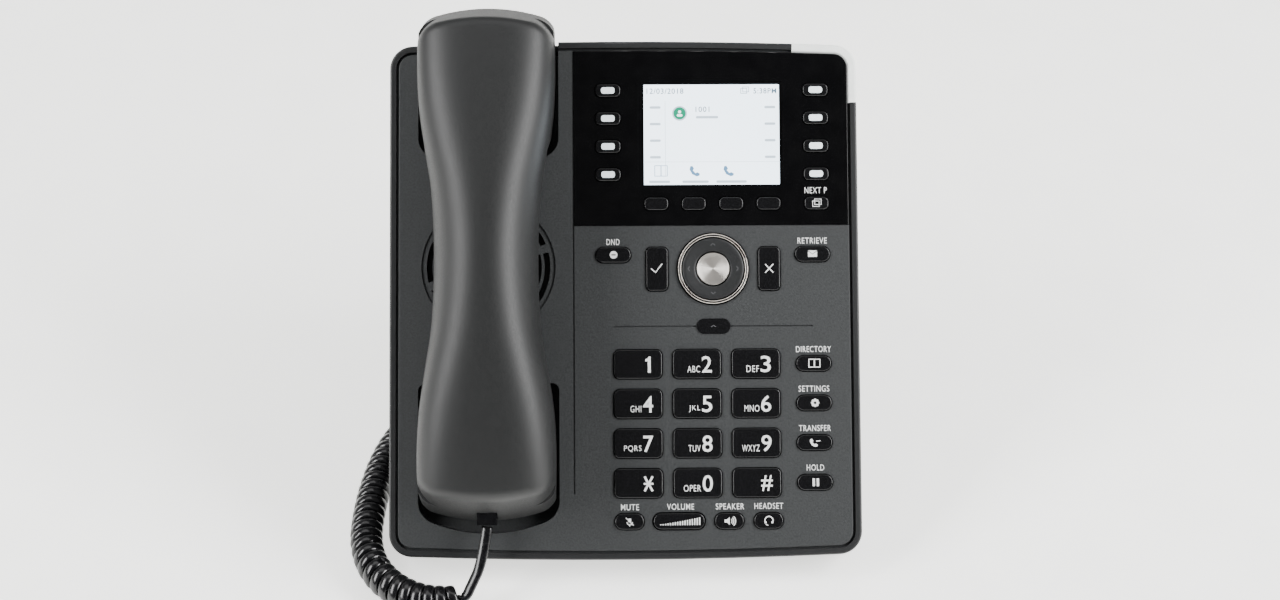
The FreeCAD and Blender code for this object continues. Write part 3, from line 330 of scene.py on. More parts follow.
def join_piece(name, parts, surfaces, body, smooth_over=None):
    """One object on a body from parts, each points in face millimetres, faces and a surface."""
    points, faces, choice = [], [], []
    for part_points, part_faces, surface in parts:
        faces += [[i + len(points) for i in face] for face in part_faces]
        choice += [surface] * len(part_faces)
        points += [FACE @ Vector(point) for point in part_points]
    mesh = bpy.data.meshes.new(name)
    mesh.from_pydata(points, [], faces)
    for surface in surfaces:
        mesh.materials.append(surface)
    mesh.polygons.foreach_set("material_index", choice)
    if smooth_over is not None:
        mesh.polygons.foreach_set("use_smooth", [True] * len(faces))
        mesh.set_sharp_from_angle(angle=math.radians(smooth_over))
    mesh.update()
    made = bpy.data.objects.new(name, mesh)
    bpy.context.scene.collection.objects.link(made)
    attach(made, body)
    return made


def plate(outline, low, high, surface=0):
    """Flat plate with straight sides over a closed outline that runs anticlockwise."""
    count = len(outline)
    points = [(u, v, low) for u, v in outline] + [(u, v, high) for u, v in outline]
    faces = [tuple(range(count, 2 * count)), tuple(reversed(range(count)))]
    faces += [(i, (i + 1) % count, count + (i + 1) % count, count + i) for i in range(count)]
    return points, faces, surface


def pill(u, v, width, height, radius=None, steps=8):
    """Outline of a rectangle with round corners."""
    radius = min(width, height) / 2 if radius is None else radius
    outline = []
    for i, (su, sv) in enumerate(((1, 1), (-1, 1), (-1, -1), (1, -1))):
        for j in range(steps + 1):
            angle = math.pi / 2 * (i + j / steps)
            outline.append((u + su * (width / 2 - radius) + radius * math.cos(angle),
                            v + sv * (height / 2 - radius) + radius * math.sin(angle)))
    return outline


def lathe(u, v, profile, surfaces, steps=96):
    """Ring turned about a point of the face from a closed profile of (radius, n)."""
    count = len(profile)
    points = []
    for i in range(steps):
        angle = 2 * math.pi * i / steps
        points += [(u + r * math.cos(angle), v + r * math.sin(angle), n) for r, n in profile]
    parts = {}
    for i in range(steps):
        for j in range(count):
            k, m = (i + 1) % steps, (j + 1) % count
            face = (i * count + j, k * count + j, k * count + m, i * count + m)
            parts.setdefault(surfaces[j], []).append(face)
    return [(points, own, surface) for surface, own in parts.items()]


# ---------------------------------------------------------------- display fascia
# A plate of black acrylic that frames the display and the line keys. It is cut from polished
# sheet and glued into a shallow step of the front cover.
# Polished acrylic: deep black with a near mirror gloss that handling has dulled very slightly.
acrylic = grained(*new_material("polished acrylic", "#050506", 0.08, ior=1.49), "#040405",
                  "#070708", 8, 0, 0.06, 0.11)
finish_node("display_fascia", acrylic)

# ---------------------------------------------------------------- message lamp
# A light guide of frosted polycarbonate that wraps the corner of the rim. It is moulded in one
# piece, pressed into the rear cover and lit by a hidden diode.
# Frosted polycarbonate: milky, soft at the edges, with a faint light of its own.
frosted, *frosted_nodes = new_material("frosted polycarbonate", "#e4e6e3", 0.4, ior=1.58,
                                       Subsurface_Weight=0.35,
                                       Subsurface_Radius=(0.002, 0.002, 0.002))
grained(frosted, *frosted_nodes, "#dcdfdc", "#e9ebe8", 3, 0, 0.34, 0.46)
glow(frosted_nodes[-1], "#f0f3f0", 0.5)
finish_node("message_lamp", frosted)

# ---------------------------------------------------------------- lettering and icons
# White pad-printed ink, a few hundredths of a millimetre thick. Each legend is one piece that
# rides on its key; the words beside the keys are one piece on the housing.
# Pad-printing ink: opaque off-white, matt, a little thinner in places.
ink = grained(*new_material("white pad printing ink", "#e6e7e6", 0.5), "#dfe0df", "#ebeceb", 2, 0,
              0.45, 0.55)
INK = 0.05                        # thickness of one coat


def harvest(data):
    """Points and faces of a curve or lettering."""
    holder = bpy.data.objects.new("holder", data)
    bpy.context.scene.collection.objects.link(holder)
    mesh = bpy.data.meshes.new_from_object(holder)
    points = [vertex.co.copy() for vertex in mesh.vertices]
    faces = [tuple(polygon.vertices) for polygon in mesh.polygons]
    bpy.data.objects.remove(holder)
    bpy.data.meshes.remove(mesh)
    return points, faces


def letters(text, u, v, width, height, level, bold, surface=0):
    """Lettering fitted to a box about u, v; bold thickens its strokes."""
    data = bpy.data.curves.new("letters", "FONT")
    data.body, data.offset, data.extrude, data.resolution_u = text, bold, 0.01, 4
    data.space_character = 1.12
    points, faces = harvest(data)
    lows = [min(point[i] for point in points) for i in range(2)]
    highs = [max(point[i] for point in points) for i in range(2)]
    scales = (width / (highs[0] - lows[0]), height / (highs[1] - lows[1]))
    middles = [(lows[i] + highs[i]) / 2 for i in range(2)]
    placed = [(u + (p.x - middles[0]) * scales[0], v + (p.y - middles[1]) * scales[1],
               level + (INK if p.z > 0 else 0)) for p in points]
    return placed, faces, surface


def stroke(points, width, level, closed=False, surface=0):
    """Line of ink with round ends through points of the face."""
    data = bpy.data.curves.new("stroke", "CURVE")
    data.dimensions = "3D"
    data.bevel_depth, data.bevel_resolution, data.use_fill_caps = width / 2, 2, True
    spline = data.splines.new("POLY")
    spline.points.add(len(points) - 1)
    for control, (u, v) in zip(spline.points, points):
        control.co = (u, v, 0, 1)
    spline.use_cyclic_u = closed
    places, faces = harvest(data)
    return [(p.x, p.y, level + p.z / width * 2 * INK) for p in places], faces, surface


def arc(u, v, radius, start, end, steps=16):
    """Points along an arc between two angles in degrees."""
    return [(u + radius * math.cos(math.radians(start + (end - start) * i / steps)),
             v + radius * math.sin(math.radians(start + (end - start) * i / steps)))
            for i in range(steps + 1)]


KEY_TOP, FASCIA_TOP, COVER_TOP = 0.9, 0.3, 0.0
# Middle of the first number key, then the steps to the next column and to the next row.
COLUMN, ROW, ACROSS, DOWN = 5.15, 77.2, 23.4, 15.7
PANEL = 35.3                      # middle line of all the keys
SIDE_KEYS, UPPER_ROW, BOTTOM_ROW = PANEL + 39.7, 120.8, 15.1
WORD_HEIGHT = 2.4
LETTERS = {"1": "", "2": "ABC", "3": "DEF", "4": "GHI", "5": "JKL", "6": "MNO", "7": "PQRS",
           "8": "TUV", "9": "WXYZ", "star": "", "0": "OPER", "hash": ""}
LETTER_WIDTHS = {"ABC": 5.0, "DEF": 5.0, "GHI": 4.3, "JKL": 4.5, "MNO": 5.9, "PQRS": 6.9,
                 "TUV": 4.8, "WXYZ": 7.0, "OPER": 6.8}


def legend(key, parts, surfaces=(ink,)):
    """Printed mark that rides on its key."""
    join_piece(f"legend_{key}", parts, surfaces, key)


for i, (digit, small) in enumerate(LETTERS.items()):
    u, v = COLUMN + i % 3 * ACROSS + 3.9, ROW - i // 3 * DOWN - 0.2
    if digit == "star":
        arms = [stroke([(u - x, v - y), (u + x, v + y)], 0.8, KEY_TOP)
                for x, y in ((1.6, 2.9), (-1.6, 2.9), (1.9, 0))]
    elif digit == "hash":
        arms = [letters("#", u, v, 4.6, 6.2, KEY_TOP, 0.008)]
    elif digit == "1":
        outline = ((0.0, -3.2), (1.15, -3.2), (1.15, 3.2), (0.3, 3.2), (0.0, 2.5), (-1.0, 2.1),
                   (-1.0, 1.25), (0.0, 1.4))
        arms = [plate([(u + x, v + y) for x, y in outline], KEY_TOP, KEY_TOP + INK)]
    else:
        arms = [letters(digit, u, v, 4.0, 6.5, KEY_TOP, 0.008)]
    if small:
        width = LETTER_WIDTHS[small]
        arms.append(letters(small, u - 2.7 - width / 2, v - 1.85, width, 2.6, KEY_TOP, -0.004))
    legend(f"key_{digit}", arms)


def handset_icon(u, v, size, level):
    """Small handset seen from the side, leaning over to the left."""
    outline = [(-1.0, 0.95), (-0.55, 1.05), (-0.2, 0.45), (-0.45, 0.1), (0.1, -0.5), (0.5, -0.3),
               (1.05, -0.65), (0.9, -1.05), (0.35, -1.2), (-0.6, -0.75), (-1.15, 0.25)]
    return plate([(u + x * size, v + y * size) for x, y in reversed(outline)], level, level + INK)


def box(u, v, width, height):
    """Corners of an upright rectangle about a point."""
    return [(u - width / 2, v - height / 2), (u + width / 2, v - height / 2),
            (u + width / 2, v + height / 2), (u - width / 2, v + height / 2)]


def open_book(u, v, width, height, line, level):
    """Open book: a frame with a line down its middle."""
    return [stroke(box(u, v, width, height), line, level, True),
            stroke([(u, v - height / 2), (u, v + height / 2)], line, level)]


# Black printing ink, for the small marks on top of the white ones.
dark_ink = new_material("black printing ink", "#08080a", 0.5)[0]
DND = -4.3
legend("key_do_not_disturb",
       [plate(pill(DND, UPPER_ROW, 3.0, 3.0), KEY_TOP, KEY_TOP + INK),
        plate(pill(DND, UPPER_ROW, 1.8, 0.5), KEY_TOP, KEY_TOP + 2 * INK, 1)], (ink, dark_ink))
envelope = [(SIDE_KEYS + x, UPPER_ROW + y)
            for x, y in ((-1.8, -1.2), (1.8, -1.2), (1.8, 1.4), (-1.8, 1.4))]
flap = [(SIDE_KEYS + x, UPPER_ROW + y) for x, y in ((-1.9, 1.3), (0, -0.1), (1.9, 1.3))]
legend("key_retrieve", [plate(envelope, KEY_TOP, KEY_TOP + INK),
                        stroke(flap, 0.3, KEY_TOP + INK, False, 1)], (ink, dark_ink))
legend("key_directory", open_book(SIDE_KEYS + 0.2, ROW, 4.4, 3.1, 0.5, KEY_TOP))
gear_u, gear_v = SIDE_KEYS + 0.3, ROW - DOWN
gear = [plate(pill(gear_u, gear_v, 2.9, 2.9), KEY_TOP, KEY_TOP + INK),
        plate(pill(gear_u, gear_v, 1.1, 1.1), KEY_TOP, KEY_TOP + 2 * INK, 1)]
for i in range(8):
    c, s = math.cos(math.pi / 4 * i), math.sin(math.pi / 4 * i)
    gear.append(stroke([(gear_u + r * c, gear_v + r * s) for r in (1.3, 1.65)], 0.6, KEY_TOP))
legend("key_settings", gear, (ink, dark_ink))
transfer_v = ROW - 2 * DOWN
legend("key_transfer", [handset_icon(SIDE_KEYS - 0.3, transfer_v, 1.45, KEY_TOP),
                        stroke([(SIDE_KEYS + 0.6, transfer_v + 0.5),
                                (SIDE_KEYS + 2.2, transfer_v + 0.7)], 0.4, KEY_TOP)])
hold_v = ROW - 3 * DOWN
legend("key_hold", [plate(pill(SIDE_KEYS + x, hold_v, 0.9, 3.1, 0.1), KEY_TOP, KEY_TOP + INK)
                    for x in (-0.6, 1.0)])
FINE = 0.42                       # width of the lines of the tick and the cross
tick = [(PANEL - 24.7, 115.2), (PANEL - 23.0, 113.7), (PANEL - 20.3, 117.1)]
legend("key_confirm", [stroke(tick, FINE, KEY_TOP)])
cross_u = PANEL + 22.35
legend("key_cancel", [stroke([(cross_u - x, 113.4), (cross_u + x, 116.8)], FINE, KEY_TOP)
                      for x in (1.6, -1.6)])


def bottom_strokes(*lines):
    """Strokes on the lowest row of keys, each a width and then points from that row's middle."""
    return [stroke([(u, BOTTOM_ROW + rise) for u, rise in points], width, KEY_TOP)
            for width, *points in lines]


legend("key_mute", bottom_strokes((1.1, (1.5, -0.2), (1.5, 1.2)))
       + [stroke(arc(1.5, BOTTOM_ROW - 0.2, 1.1, 180, 360), 0.3, KEY_TOP)]
       + bottom_strokes((0.3, (1.5, -1.3), (1.5, -1.9)), (0.3, (0.0, 1.5), (3.0, -1.5))))
BARS, FIRST_BAR, BAR_PITCH, BAR_WIDTH = 17, 13.5, 0.96, 0.48
bars = []
for i in range(BARS):
    left, foot = FIRST_BAR + i * BAR_PITCH, BOTTOM_ROW - 1.5
    top = foot + 0.35 + 2.6 * (i / (BARS - 1)) ** 1.2
    right = left + BAR_WIDTH
    bars.append(plate([(left, foot), (right, foot), (right, top), (left, top)], KEY_TOP,
                      KEY_TOP + INK))
legend("key_volume", bars)
cone = [(u, BOTTOM_ROW + rise) for u, rise in ((39.0, -0.6), (39.9, -0.6), (41.0, -1.5),
                                               (41.0, 1.5), (39.9, 0.6), (39.0, 0.6))]
legend("key_speaker", [plate(cone, KEY_TOP, KEY_TOP + INK)]
       + [stroke(arc(40.9, BOTTOM_ROW, r, -48, 48), 0.35, KEY_TOP) for r in (1.0, 1.7, 2.4)])
legend("key_headset", [stroke(arc(56.5, BOTTOM_ROW + 0.1, 1.6, -30, 210), 0.45, KEY_TOP)]
       + bottom_strokes((0.8, (55.2, -0.3), (55.2, -1.0)), (0.8, (57.8, -0.3), (57.8, -1.0)),
                        (0.3, (55.2, -1.4), (56.2, -1.9))))
PAGE_U, PAGE_V = PANEL + 41.6, 141.2
legend("key_next_page", [stroke(box(PAGE_U + shift, PAGE_V + shift, 2.6, 2.2), 0.35, KEY_TOP, True)
                         for shift in (-0.3, 0.5)])

# Each word with the middle of its place and its width.
words = [("DND", -4.5, 126.0, 5.2), ("RETRIEVE", 75.0, 126.2, 11.7),
         ("DIRECTORY", 75.0, 82.85, 13.9), ("SETTINGS", 75.0, 67.15, 12.2),
         ("TRANSFER", 75.2, 51.5, 12.7), ("HOLD", 75.2, 35.9, 6.9), ("MUTE", 1.65, 20.7, 7.1),
         ("VOLUME", 21.65, 20.8, 10.7), ("SPEAKER", 41.2, 20.8, 11.2),
         ("HEADSET", 56.55, 20.9, 11.4)]
join_piece("printed_words", [letters(text, u, v, width, WORD_HEIGHT, COVER_TOP, 0.002)
                             for text, u, v, width in words], (ink,), "root")
join_piece("printed_word_next", [letters("NEXT P", 76.6, 146.4, 8.9, WORD_HEIGHT, FASCIA_TOP, 0.0)],
           (ink,), "root")

# ---------------------------------------------------------------- keys
# Caps moulded in black ABS, each on a lip behind the front cover that keeps it in its opening.
# Each line key carries a milky window over a diode.
# Satin ABS: black, smooth, with soft reflections that the fine grain of the mould breaks up.
key_abs = grained(*new_material("satin keycap ABS", "#0c0c0d", 0.22), "#0a0a0b", "#0f0f11", 0.8,
                  0.004, 0.18, 0.26)
plain_keys = [name for name in nodes if name.startswith(("key_", "line_key_", "soft_key_"))
              and name not in ("key_mat", "key_ok")]
for name in plain_keys:
    finish_node(name, key_abs)
# Milky polycarbonate: bluish white, with a faint light of its own.
diode_window, *diode_nodes = new_material("milky polycarbonate", "#e3eaec", 0.3, ior=1.58)
grained(diode_window, *diode_nodes, "#dde6e9", "#eaf0f1", 1.5, 0, 0.26, 0.34)
glow(diode_nodes[-1], "#dce9ee", 0.7)
LINE_KEYS, TOP_LINE_KEY, LINE_KEY_PITCH, WINDOW_HEIGHT = 41.6, 186.9, 11.3, 0.12
for side_name, u in (("left", PANEL - LINE_KEYS), ("right", PANEL + LINE_KEYS)):
    for i in range(4):
        key = f"line_key_{side_name}_{i + 1}"
        window = plate(pill(u, TOP_LINE_KEY - LINE_KEY_PITCH * i, 5.4, 2.6, 1.0), KEY_TOP,
                       KEY_TOP + WINDOW_HEIGHT)
        join_piece(f"window_{key}", [window], (diode_window,), key)

# ---------------------------------------------------------------- navigation control
# A gloss black trim ring with two chromed lines, a rocking ring with a moulded arrow at each
# side, and a select button turned from aluminium with its fine lathe lines left on.
DIAL_V = 115.1
# Bright chrome over plastic: a warm mirror, a little hazy. Gloss ABS: black, with clear highlights.
chrome = grained(*new_material("bright chrome plating", "#cfc8c0", 0.24, 1.0), "#cbc4bc", "#d4cec8",
                 2, 0, 0.2, 0.28)
gloss_abs = grained(*new_material("gloss black ABS", "#0a0a0b", 0.14), "#08080a", "#0c0c0d", 3, 0,
                    0.11, 0.17)
trim_profile = [(12.75, -3.6), (14.05, -3.6), (14.05, 0.8), (13.98, 1.05), (13.82, 1.15),
                (13.66, 1.05), (13.6, 0.85), (13.35, 0.7), (13.1, 0.85), (13.04, 1.05),
                (12.92, 1.12), (12.8, 1.05), (12.75, 0.85)]
trim_faces = [1, 1, 0, 0, 0, 0, 1, 1, 0, 0, 0, 0, 1]      # 0 chromed, 1 black
trim = join_piece("trim_ring", lathe(PANEL, DIAL_V, trim_profile, trim_faces), (chrome, gloss_abs),
                  "nav_trim_ring", 50)
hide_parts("nav_trim_ring")
dial_profile = [(7.05, -3.6), (12.35, -3.6), (12.35, 0.45), (12.15, 0.75), (11.8, 0.88),
                (10.6, 0.8), (9.2, 0.62), (8.0, 0.5), (7.3, 0.45), (7.05, 0.3)]
dial = join_piece("dial_ring", lathe(PANEL, DIAL_V, dial_profile, [0] * len(dial_profile)),
                  (satin_abs,), "nav_ring", 40)
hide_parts("nav_ring")
# Grey printing ink, for the small arrows.
arrow_ink = new_material("grey pad printing ink", "#4a4b4d", 0.5)[0]
ARROW, ARROW_LINE, ARROW_LEVEL = ((9.3, -0.9), (10.1, 0), (9.3, 0.9)), 0.3, 0.72
arrows = []
for i in range(4):
    c, s = math.cos(math.pi / 2 * i), math.sin(math.pi / 2 * i)
    arrows.append(stroke([(PANEL + x * c - y * s, DIAL_V + x * s + y * c) for x, y in ARROW],
                         ARROW_LINE, ARROW_LEVEL))
join_piece("dial_arrows", arrows, (arrow_ink,), "nav_ring")

# Turned aluminium: the lathe lines run round the button, so light spreads across them.
turned, turned_tree, turned_shader = new_material("turned aluminium", "#d6d1cb", 0.5, 1.0,
                                                  Anisotropic=0.9, Anisotropic_Rotation=0.25)
button_profile = [(0.02, 0.35), (1.5, 0.36), (3.0, 0.4), (4.5, 0.48), (5.6, 0.6), (6.1, 0.85),
                  (6.3, 0.88), (6.43, 0.7), (6.43, -4.0), (0.02, -4.0)]
one_surface = [0] * len(button_profile)
button = join_piece("select_button", lathe(PANEL, DIAL_V, button_profile, one_surface), (turned,),
                    "key_ok", 40)
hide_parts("key_ok")
# The button keeps its own axes, so that the lathe lines run round its own middle.
seat = (Matrix.Translation(FACE @ Vector((PANEL, DIAL_V, 0)))
        @ Matrix.Rotation(math.radians(45), 4, "X"))
button.parent = None
button.data.transform(seat.inverted())
button.matrix_world = seat
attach(button, "key_ok")
lathe_lines = add_node(turned_tree, "Tangent", direction_type="RADIAL", axis="Z")
turned_tree.links.new(lathe_lines.outputs["Tangent"], turned_shader.inputs["Tangent"])

# ---------------------------------------------------------------- divider and sensor window
# A window in a pill shape, moulded in the same black plastic as the keys. It is pressed into the
# moulded line above the number keys and has a small grey mark printed on it.
WINDOW_V, WINDOW_TOP = 92.2, 0.35
mark = [(PANEL - 1.0, WINDOW_V - 0.3), (PANEL, WINDOW_V + 0.3), (PANEL + 1.0, WINDOW_V - 0.3)]
join_piece("sensor_window", [plate(pill(PANEL, WINDOW_V, 13.4, 6.1), -0.2, WINDOW_TOP),
                             stroke(mark, ARROW_LINE, WINDOW_TOP, False, 1)],
           (key_abs, arrow_ink), "root")

# ---------------------------------------------------------------- display
# A colour liquid crystal panel under clear glass, lit from behind and held behind the fascia. Its
# picture is made of thin plates: the date, the time, labels, a contact and three icons.
panel_dark = new_material("display border", "#0a0b0c", 0.12)[0]
finish_node("lcd_module", panel_dark)
SCREEN_U, SCREEN_V, SCREEN_TOP = 35.2, 169.1, -0.1
SCREEN_WIDTH, SCREEN_HEIGHT, LAYER = 54.3, 40.4, 0.02


def lit(name, colour, strength):
    """Part of the picture: light from behind under smooth glass."""
    made, tree, shader = new_material(name, "#040404", 0.12)
    glow(shader, colour, strength)
    return made, tree, shader


# The backlight is not quite even over the panel.
backlight, backlight_tree, backlight_shader = lit("backlit display", "#e9f4fd", 5.0)
cloud = add_node(backlight_tree, "TexNoise",
                 {"Vector": add_node(backlight_tree, "TexCoord").outputs["Object"],
                  "Scale": millimetres(40), "Detail": 1.0})
evenness = add_node(backlight_tree, "ValToRGB", {"Fac": cloud.outputs["Fac"]})
for stop, colour in zip(evenness.color_ramp.elements, ("#dcecf9", "#e8f3fc")):
    stop.color = linear(colour)
backlight_tree.links.new(evenness.outputs["Color"], backlight_shader.inputs["Emission Color"])
picture_surfaces = [backlight] + [
    lit(name, colour, strength)[0]
    for name, colour, strength in (("display text", "#8fb4cf", 0.9),
                                   ("display faint text", "#cfe0ee", 2.2),
                                   ("display icons", "#86bdec", 1.3),
                                   ("display contact", "#00c091", 1.2),
                                   ("display white", "#eef7fd", 3.5))]
TEXT, FAINT, ICONS, CONTACT, WHITE = 1, 2, 3, 4, 5     # places in picture_surfaces
LEVEL = SCREEN_TOP + LAYER
LEFT_EDGE, TOP_EDGE = SCREEN_U - SCREEN_WIDTH / 2, SCREEN_V + SCREEN_HEIGHT / 2
picture = [plate(pill(SCREEN_U, SCREEN_V, SCREEN_WIDTH, SCREEN_HEIGHT, 0.2), SCREEN_TOP, LEVEL)]


def on_screen(part, surface, thinness=0.3):
    """Press a part flat against the picture and give it its surface."""
    points, faces, _ = part
    return [(u, v, LEVEL + (n - LEVEL) * thinness) for u, v, n in points], faces, surface


def screen_pill(across, down, width, height, surface, layers=1, radius=None):
    """Round-ended bar or disc at a place from the picture's upper left corner."""
    outline = pill(LEFT_EDGE + across, TOP_EDGE - down, width, height, radius)
    return on_screen(plate(outline, LEVEL, LEVEL + layers * INK), surface)


for text, across, down, width in (("12/03/2018", 8.6, 2.6, 14.8), ("5:38PM", 48.7, 2.6, 9.2),
                                  ("1001", 23.6, 10.0, 5.6)):
    picture.append(on_screen(letters(text, LEFT_EDGE + across, TOP_EDGE - down, width, 2.2, LEVEL,
                                     0.008), TEXT))
for i in range(4):
    picture += [screen_pill(across, 9.2 + 6.7 * i, 4.4, 1.0, FAINT) for across in (4.6, 50.6)]
picture.append(screen_pill(25.4, 13.2, 9.0, 1.0, FAINT))
picture += [screen_pill(across, 39.2, width, 1.0, FAINT)
            for across, width in ((6.2, 8.4), (20.6, 10.6), (35.0, 12.2))]
picture += [screen_pill(8.6, 21.7, 0.15, 30, FAINT, 1, 0.05),
            screen_pill(27.15, 31.2, 54.9, 0.12, FAINT, 1, 0.05),
            screen_pill(14.4, 11.6, 6.0, 6.0, FAINT),
            screen_pill(14.4, 11.6, 4.9, 4.9, CONTACT, 2),
            screen_pill(14.4, 11.0, 1.2, 1.2, WHITE, 3),
            screen_pill(14.4, 12.4, 2.2, 1.0, WHITE, 3)]
ICON_V = TOP_EDGE - 34.8
icons = open_book(LEFT_EDGE + 6.8, ICON_V, 5.0, 4.2, 0.35, LEVEL)
icons += [handset_icon(LEFT_EDGE + across, ICON_V, 1.9, LEVEL) for across in (20.4, 34.0)]
picture += [on_screen(icon, ICONS) for icon in icons]
picture += [on_screen(stroke(box(LEFT_EDGE + across, TOP_EDGE - down, 2.4, 2.0), 0.3, LEVEL, True),
                      TEXT) for across, down in ((40.2, 2.6), (41.0, 2.0))]
join_piece("screen_picture", picture, picture_surfaces, "root")

# ---------------------------------------------------------------- handset
# Two ABS shells snapped together, satin with a very fine texture that hands have polished a
# little. The back shell is one smooth skin: it narrows at the grip and turns over a rounded
# crease into the bowed end faces.
HANDSET_U, MIDDLE, PART_LINE = -54.1, 117.5, 14.0
# Distance from the middle, half width there, and height of the back above the face.
STATIONS = [(0, 20.3, 38.6), (26, 21.3, 38.0), (42, 23.6, 36.9), (58, 25.9, 35.2), (74, 26.8, 33.0),
            (88, 26.7, 30.4), (110, 26.0, 25.8)]
END_LEAN, END_BOW, TOP_END, LOW_END = 10.5 / 30, 72.0, 221.0, 14.6
END_CORNER, END_SIDE = 9.0, 27.3   # round corners of the end faces, and where they meet the sides
CREASE = 3.4                       # size of the rounding between the back and an end face
SQUARENESS_MIDDLE, SQUARENESS_END = 2.2, 3.1   # of the cross-section: 2 is an ellipse
SQUARE_AT = 80                     # distance from the middle where it is at its squarest


def station(distance, column):
    """Smooth half width or height at a distance from the middle."""
    spots = [(-d, row) for d, *row in reversed(STATIONS[1:])] + [(d, row) for d, *row in STATIONS]
    i = max(min(sum(1 for d, row in spots if d <= distance) - 1, len(spots) - 2), 0)
    d0, d1 = spots[i][0], spots[i + 1][0]
    y0, y1 = spots[i][1][column], spots[i + 1][1][column]
    before, after = spots[max(i - 1, 0)], spots[min(i + 2, len(spots) - 1)]
    slope0 = (y1 - before[1][column]) / (d1 - before[0])
    slope1 = (after[1][column] - y0) / (after[0] - d0)
    t = (distance - d0) / (d1 - d0)
    return ((2 * t ** 3 - 3 * t ** 2 + 1) * y0 + (t ** 3 - 2 * t ** 2 + t) * (d1 - d0) * slope0
            + (3 * t ** 2 - 2 * t ** 3) * y1 + (t ** 3 - t ** 2) * (d1 - d0) * slope1)


def end_face(sign, u, n):
    """v of an end face at a place across and out of the face."""
    sag = END_BOW - math.sqrt(END_BOW ** 2 - u ** 2)
    corner = END_SIDE - END_CORNER
    if abs(u) > corner:
        sag += END_CORNER - math.sqrt(max(END_CORNER ** 2 - (abs(u) - corner) ** 2, 0))
    lean = n * END_LEAN
    return TOP_END - lean - sag if sign > 0 else LOW_END + lean + sag


def back_point(v, angle):
    """Point of the back's skin at a place along and an angle round."""
    half, top = station(v - MIDDLE, 0), station(v - MIDDLE, 1)
    c, s = math.cos(angle), math.sin(angle)
    grown = ease(abs(v - MIDDLE) / SQUARE_AT)
    square = SQUARENESS_MIDDLE + (SQUARENESS_END - SQUARENESS_MIDDLE) * grown
    u = math.copysign(abs(c) ** (2 / square), c) * half
    return u, PART_LINE + abs(s) ** (2 / square) * (top - PART_LINE)


ROUND_STEPS, LONG_STEPS, CREASE_STEPS, WALL_STEPS = 56, 72, 7, 7


def meeting_place(sign, angle):
    """v at which the back's skin meets an end face, found by closing in on it."""
    v = MIDDLE + sign * 95
    for _ in range(30):
        v += (end_face(sign, *back_point(v, angle)) - v) * 0.7
    return v


def end_line(sign, angle):
    """Points up one end face and round its crease, from the part line to the back."""
    v = meeting_place(sign, angle)
    u, n = back_point(v, angle)
    round_by = min(CREASE, (n - PART_LINE) * 0.8)
    low_n, inside_v = n - round_by, v - sign * round_by
    inside_u, inside_n = back_point(inside_v, angle)
    wall = []
    foot_u = math.copysign(min(abs(u), station(v - MIDDLE, 0)), u)
    for k in range(WALL_STEPS):
        low = PART_LINE + (low_n - PART_LINE) * k / WALL_STEPS
        wall.append((foot_u, end_face(sign, foot_u, low), low))
    start, corner = (u, end_face(sign, u, low_n), low_n), (u, v, n)
    finish = (inside_u, inside_v, inside_n)
    for k in range(CREASE_STEPS + 1):
        t = k / CREASE_STEPS
        wall.append(tuple((1 - t) ** 2 * start[j] + 2 * t * (1 - t) * corner[j] + t ** 2 * finish[j]
                          for j in range(3)))
    return wall


rows = []
for i in range(ROUND_STEPS + 1):
    angle = math.pi * i / ROUND_STEPS
    low_end, high_end = end_line(-1, angle), end_line(1, angle)[::-1]
    v0, v1 = low_end[-1][1], high_end[0][1]
    middle_run = []
    for k in range(1, LONG_STEPS):
        v = v0 + (v1 - v0) * k / LONG_STEPS
        u, n = back_point(v, angle)
        middle_run.append((u, v, n))
    rows.append(low_end + middle_run + high_end)
count = len(rows[0])
skin_points = [(HANDSET_U + u, v, n) for row in rows for u, v, n in row]
skin_faces = [(i * count + j, i * count + j + 1, (i + 1) * count + j + 1, (i + 1) * count + j)
              for i in range(ROUND_STEPS) for j in range(count - 1)]
# Satin ABS: near black, with wide soft highlights along the grip.
handset_abs = grained(*new_material("satin handset ABS", "#0f1011", 0.48), "#0d0e0f", "#121313",
                      0.6, 0.012, 0.44, 0.56, 3.0)
handset_back = join_piece("handset_back", [(skin_points, skin_faces, 0)], (handset_abs,), "handset",
                          60)
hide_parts("handset_back_shell")
finish_node("handset_front_shell", handset_abs)

# ---------------------------------------------------------------- back of the foot stand
# Moulded ribs to hold the stand by while it is clipped in, and a blank polyester label.
WEB_TOP, WEB_FOOT = Vector((0, 188, -28)), Vector((0, 110.3, -124.4))
down_web = (WEB_FOOT - WEB_TOP).normalized()
out_of_web = Vector((1, 0, 0)).cross(down_web)


def on_web(part):
    """Move a plate from across, down and out of the stand's sloping back to the face's axes."""
    points, faces, surface = part
    moved = [WEB_TOP + Vector((u, 0, 0)) + down_web * s + out_of_web * h for u, s, h in points]
    return moved, faces, surface


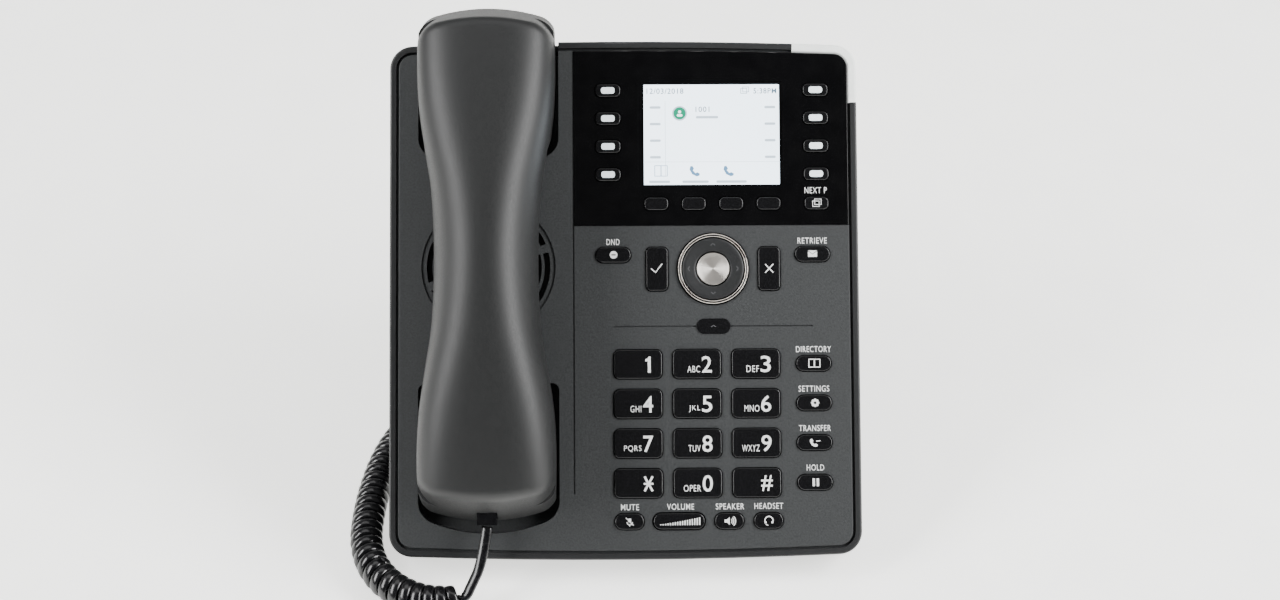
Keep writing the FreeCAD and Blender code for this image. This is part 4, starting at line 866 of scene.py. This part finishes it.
RIB_LENGTH, RIB_WIDTH, RIB_PITCH, RIB_HEIGHT, FIRST_RIB = 60, 1.8, 5, 0.8, 92
ribs = [on_web(plate(pill(0, FIRST_RIB + RIB_PITCH * i, RIB_LENGTH, RIB_WIDTH), 0, RIB_HEIGHT))
        for i in range(4)]
join_piece("stand_ribs", ribs, (satin_abs,), "root", 40)
# Silvered polyester film: pale grey with a soft sheen.
polyester = grained(*new_material("silvered polyester film", "#8d9093", 0.4), "#85888b", "#95989b",
                    4, 0, 0.34, 0.46)
LABEL_PLACE, LABEL_WIDTH, LABEL_HEIGHT, FILM = 48, 62, 34, 0.12
label = on_web(plate(pill(0, LABEL_PLACE, LABEL_WIDTH, LABEL_HEIGHT, 2), 0, FILM))
join_piece("stand_label", [label], (polyester,), "root")

# ---------------------------------------------------------------- inside and underneath
# Parts that show only through an opening or from behind: moulded rubber feet and key mat, screws
# driven into the housing, the circuit board, the loudspeakers and the plugs of the cord.
# Silicone rubber: dull black with almost no shine.
silicone = grained(*new_material("silicone rubber", "#1a1a1a", 0.7), "#161616", "#1f1f1f", 1.0,
                   0.02, 0.62, 0.78)
for name in ("rubber_feet", "key_mat"):
    finish_node(name, silicone)
# Zinc plated steel: pale grey metal, slightly cloudy.
zinc = grained(*new_material("zinc plated steel", "#9a9da1", 0.35, 1.0), "#8f9296", "#a5a8ac",
               1.5, 0, 0.28, 0.42)
for name in ("cover_screws", "handset_microphone"):
    finish_node(name, zinc)
# Solder mask: green lacquer over the board, uneven where it runs over copper.
mask = grained(*new_material("green solder mask", "#1b4a2b", 0.35), "#184527", "#1f5431", 2.5,
               0.01, 0.3, 0.42)
finish_node("main_board", mask)
# Lacquered steel: black with a soft sheen and a faint orange peel.
lacquer = grained(*new_material("black lacquered steel", "#151516", 0.45), "#121213", "#19191a",
                  1.5, 0.01, 0.4, 0.5)
for name in ("loudspeaker", "handset_receiver"):
    finish_node(name, lacquer)
# Smoked polycarbonate: dark and clear as glass at its surface.
smoky = grained(*new_material("smoked polycarbonate", "#0c0c0e", 0.14, ior=1.58), "#09090b",
                "#101012", 2.0, 0, 0.1, 0.18)
for name in ("cord_plug_handset", "cord_plug_base"):
    finish_node(name, smoky)
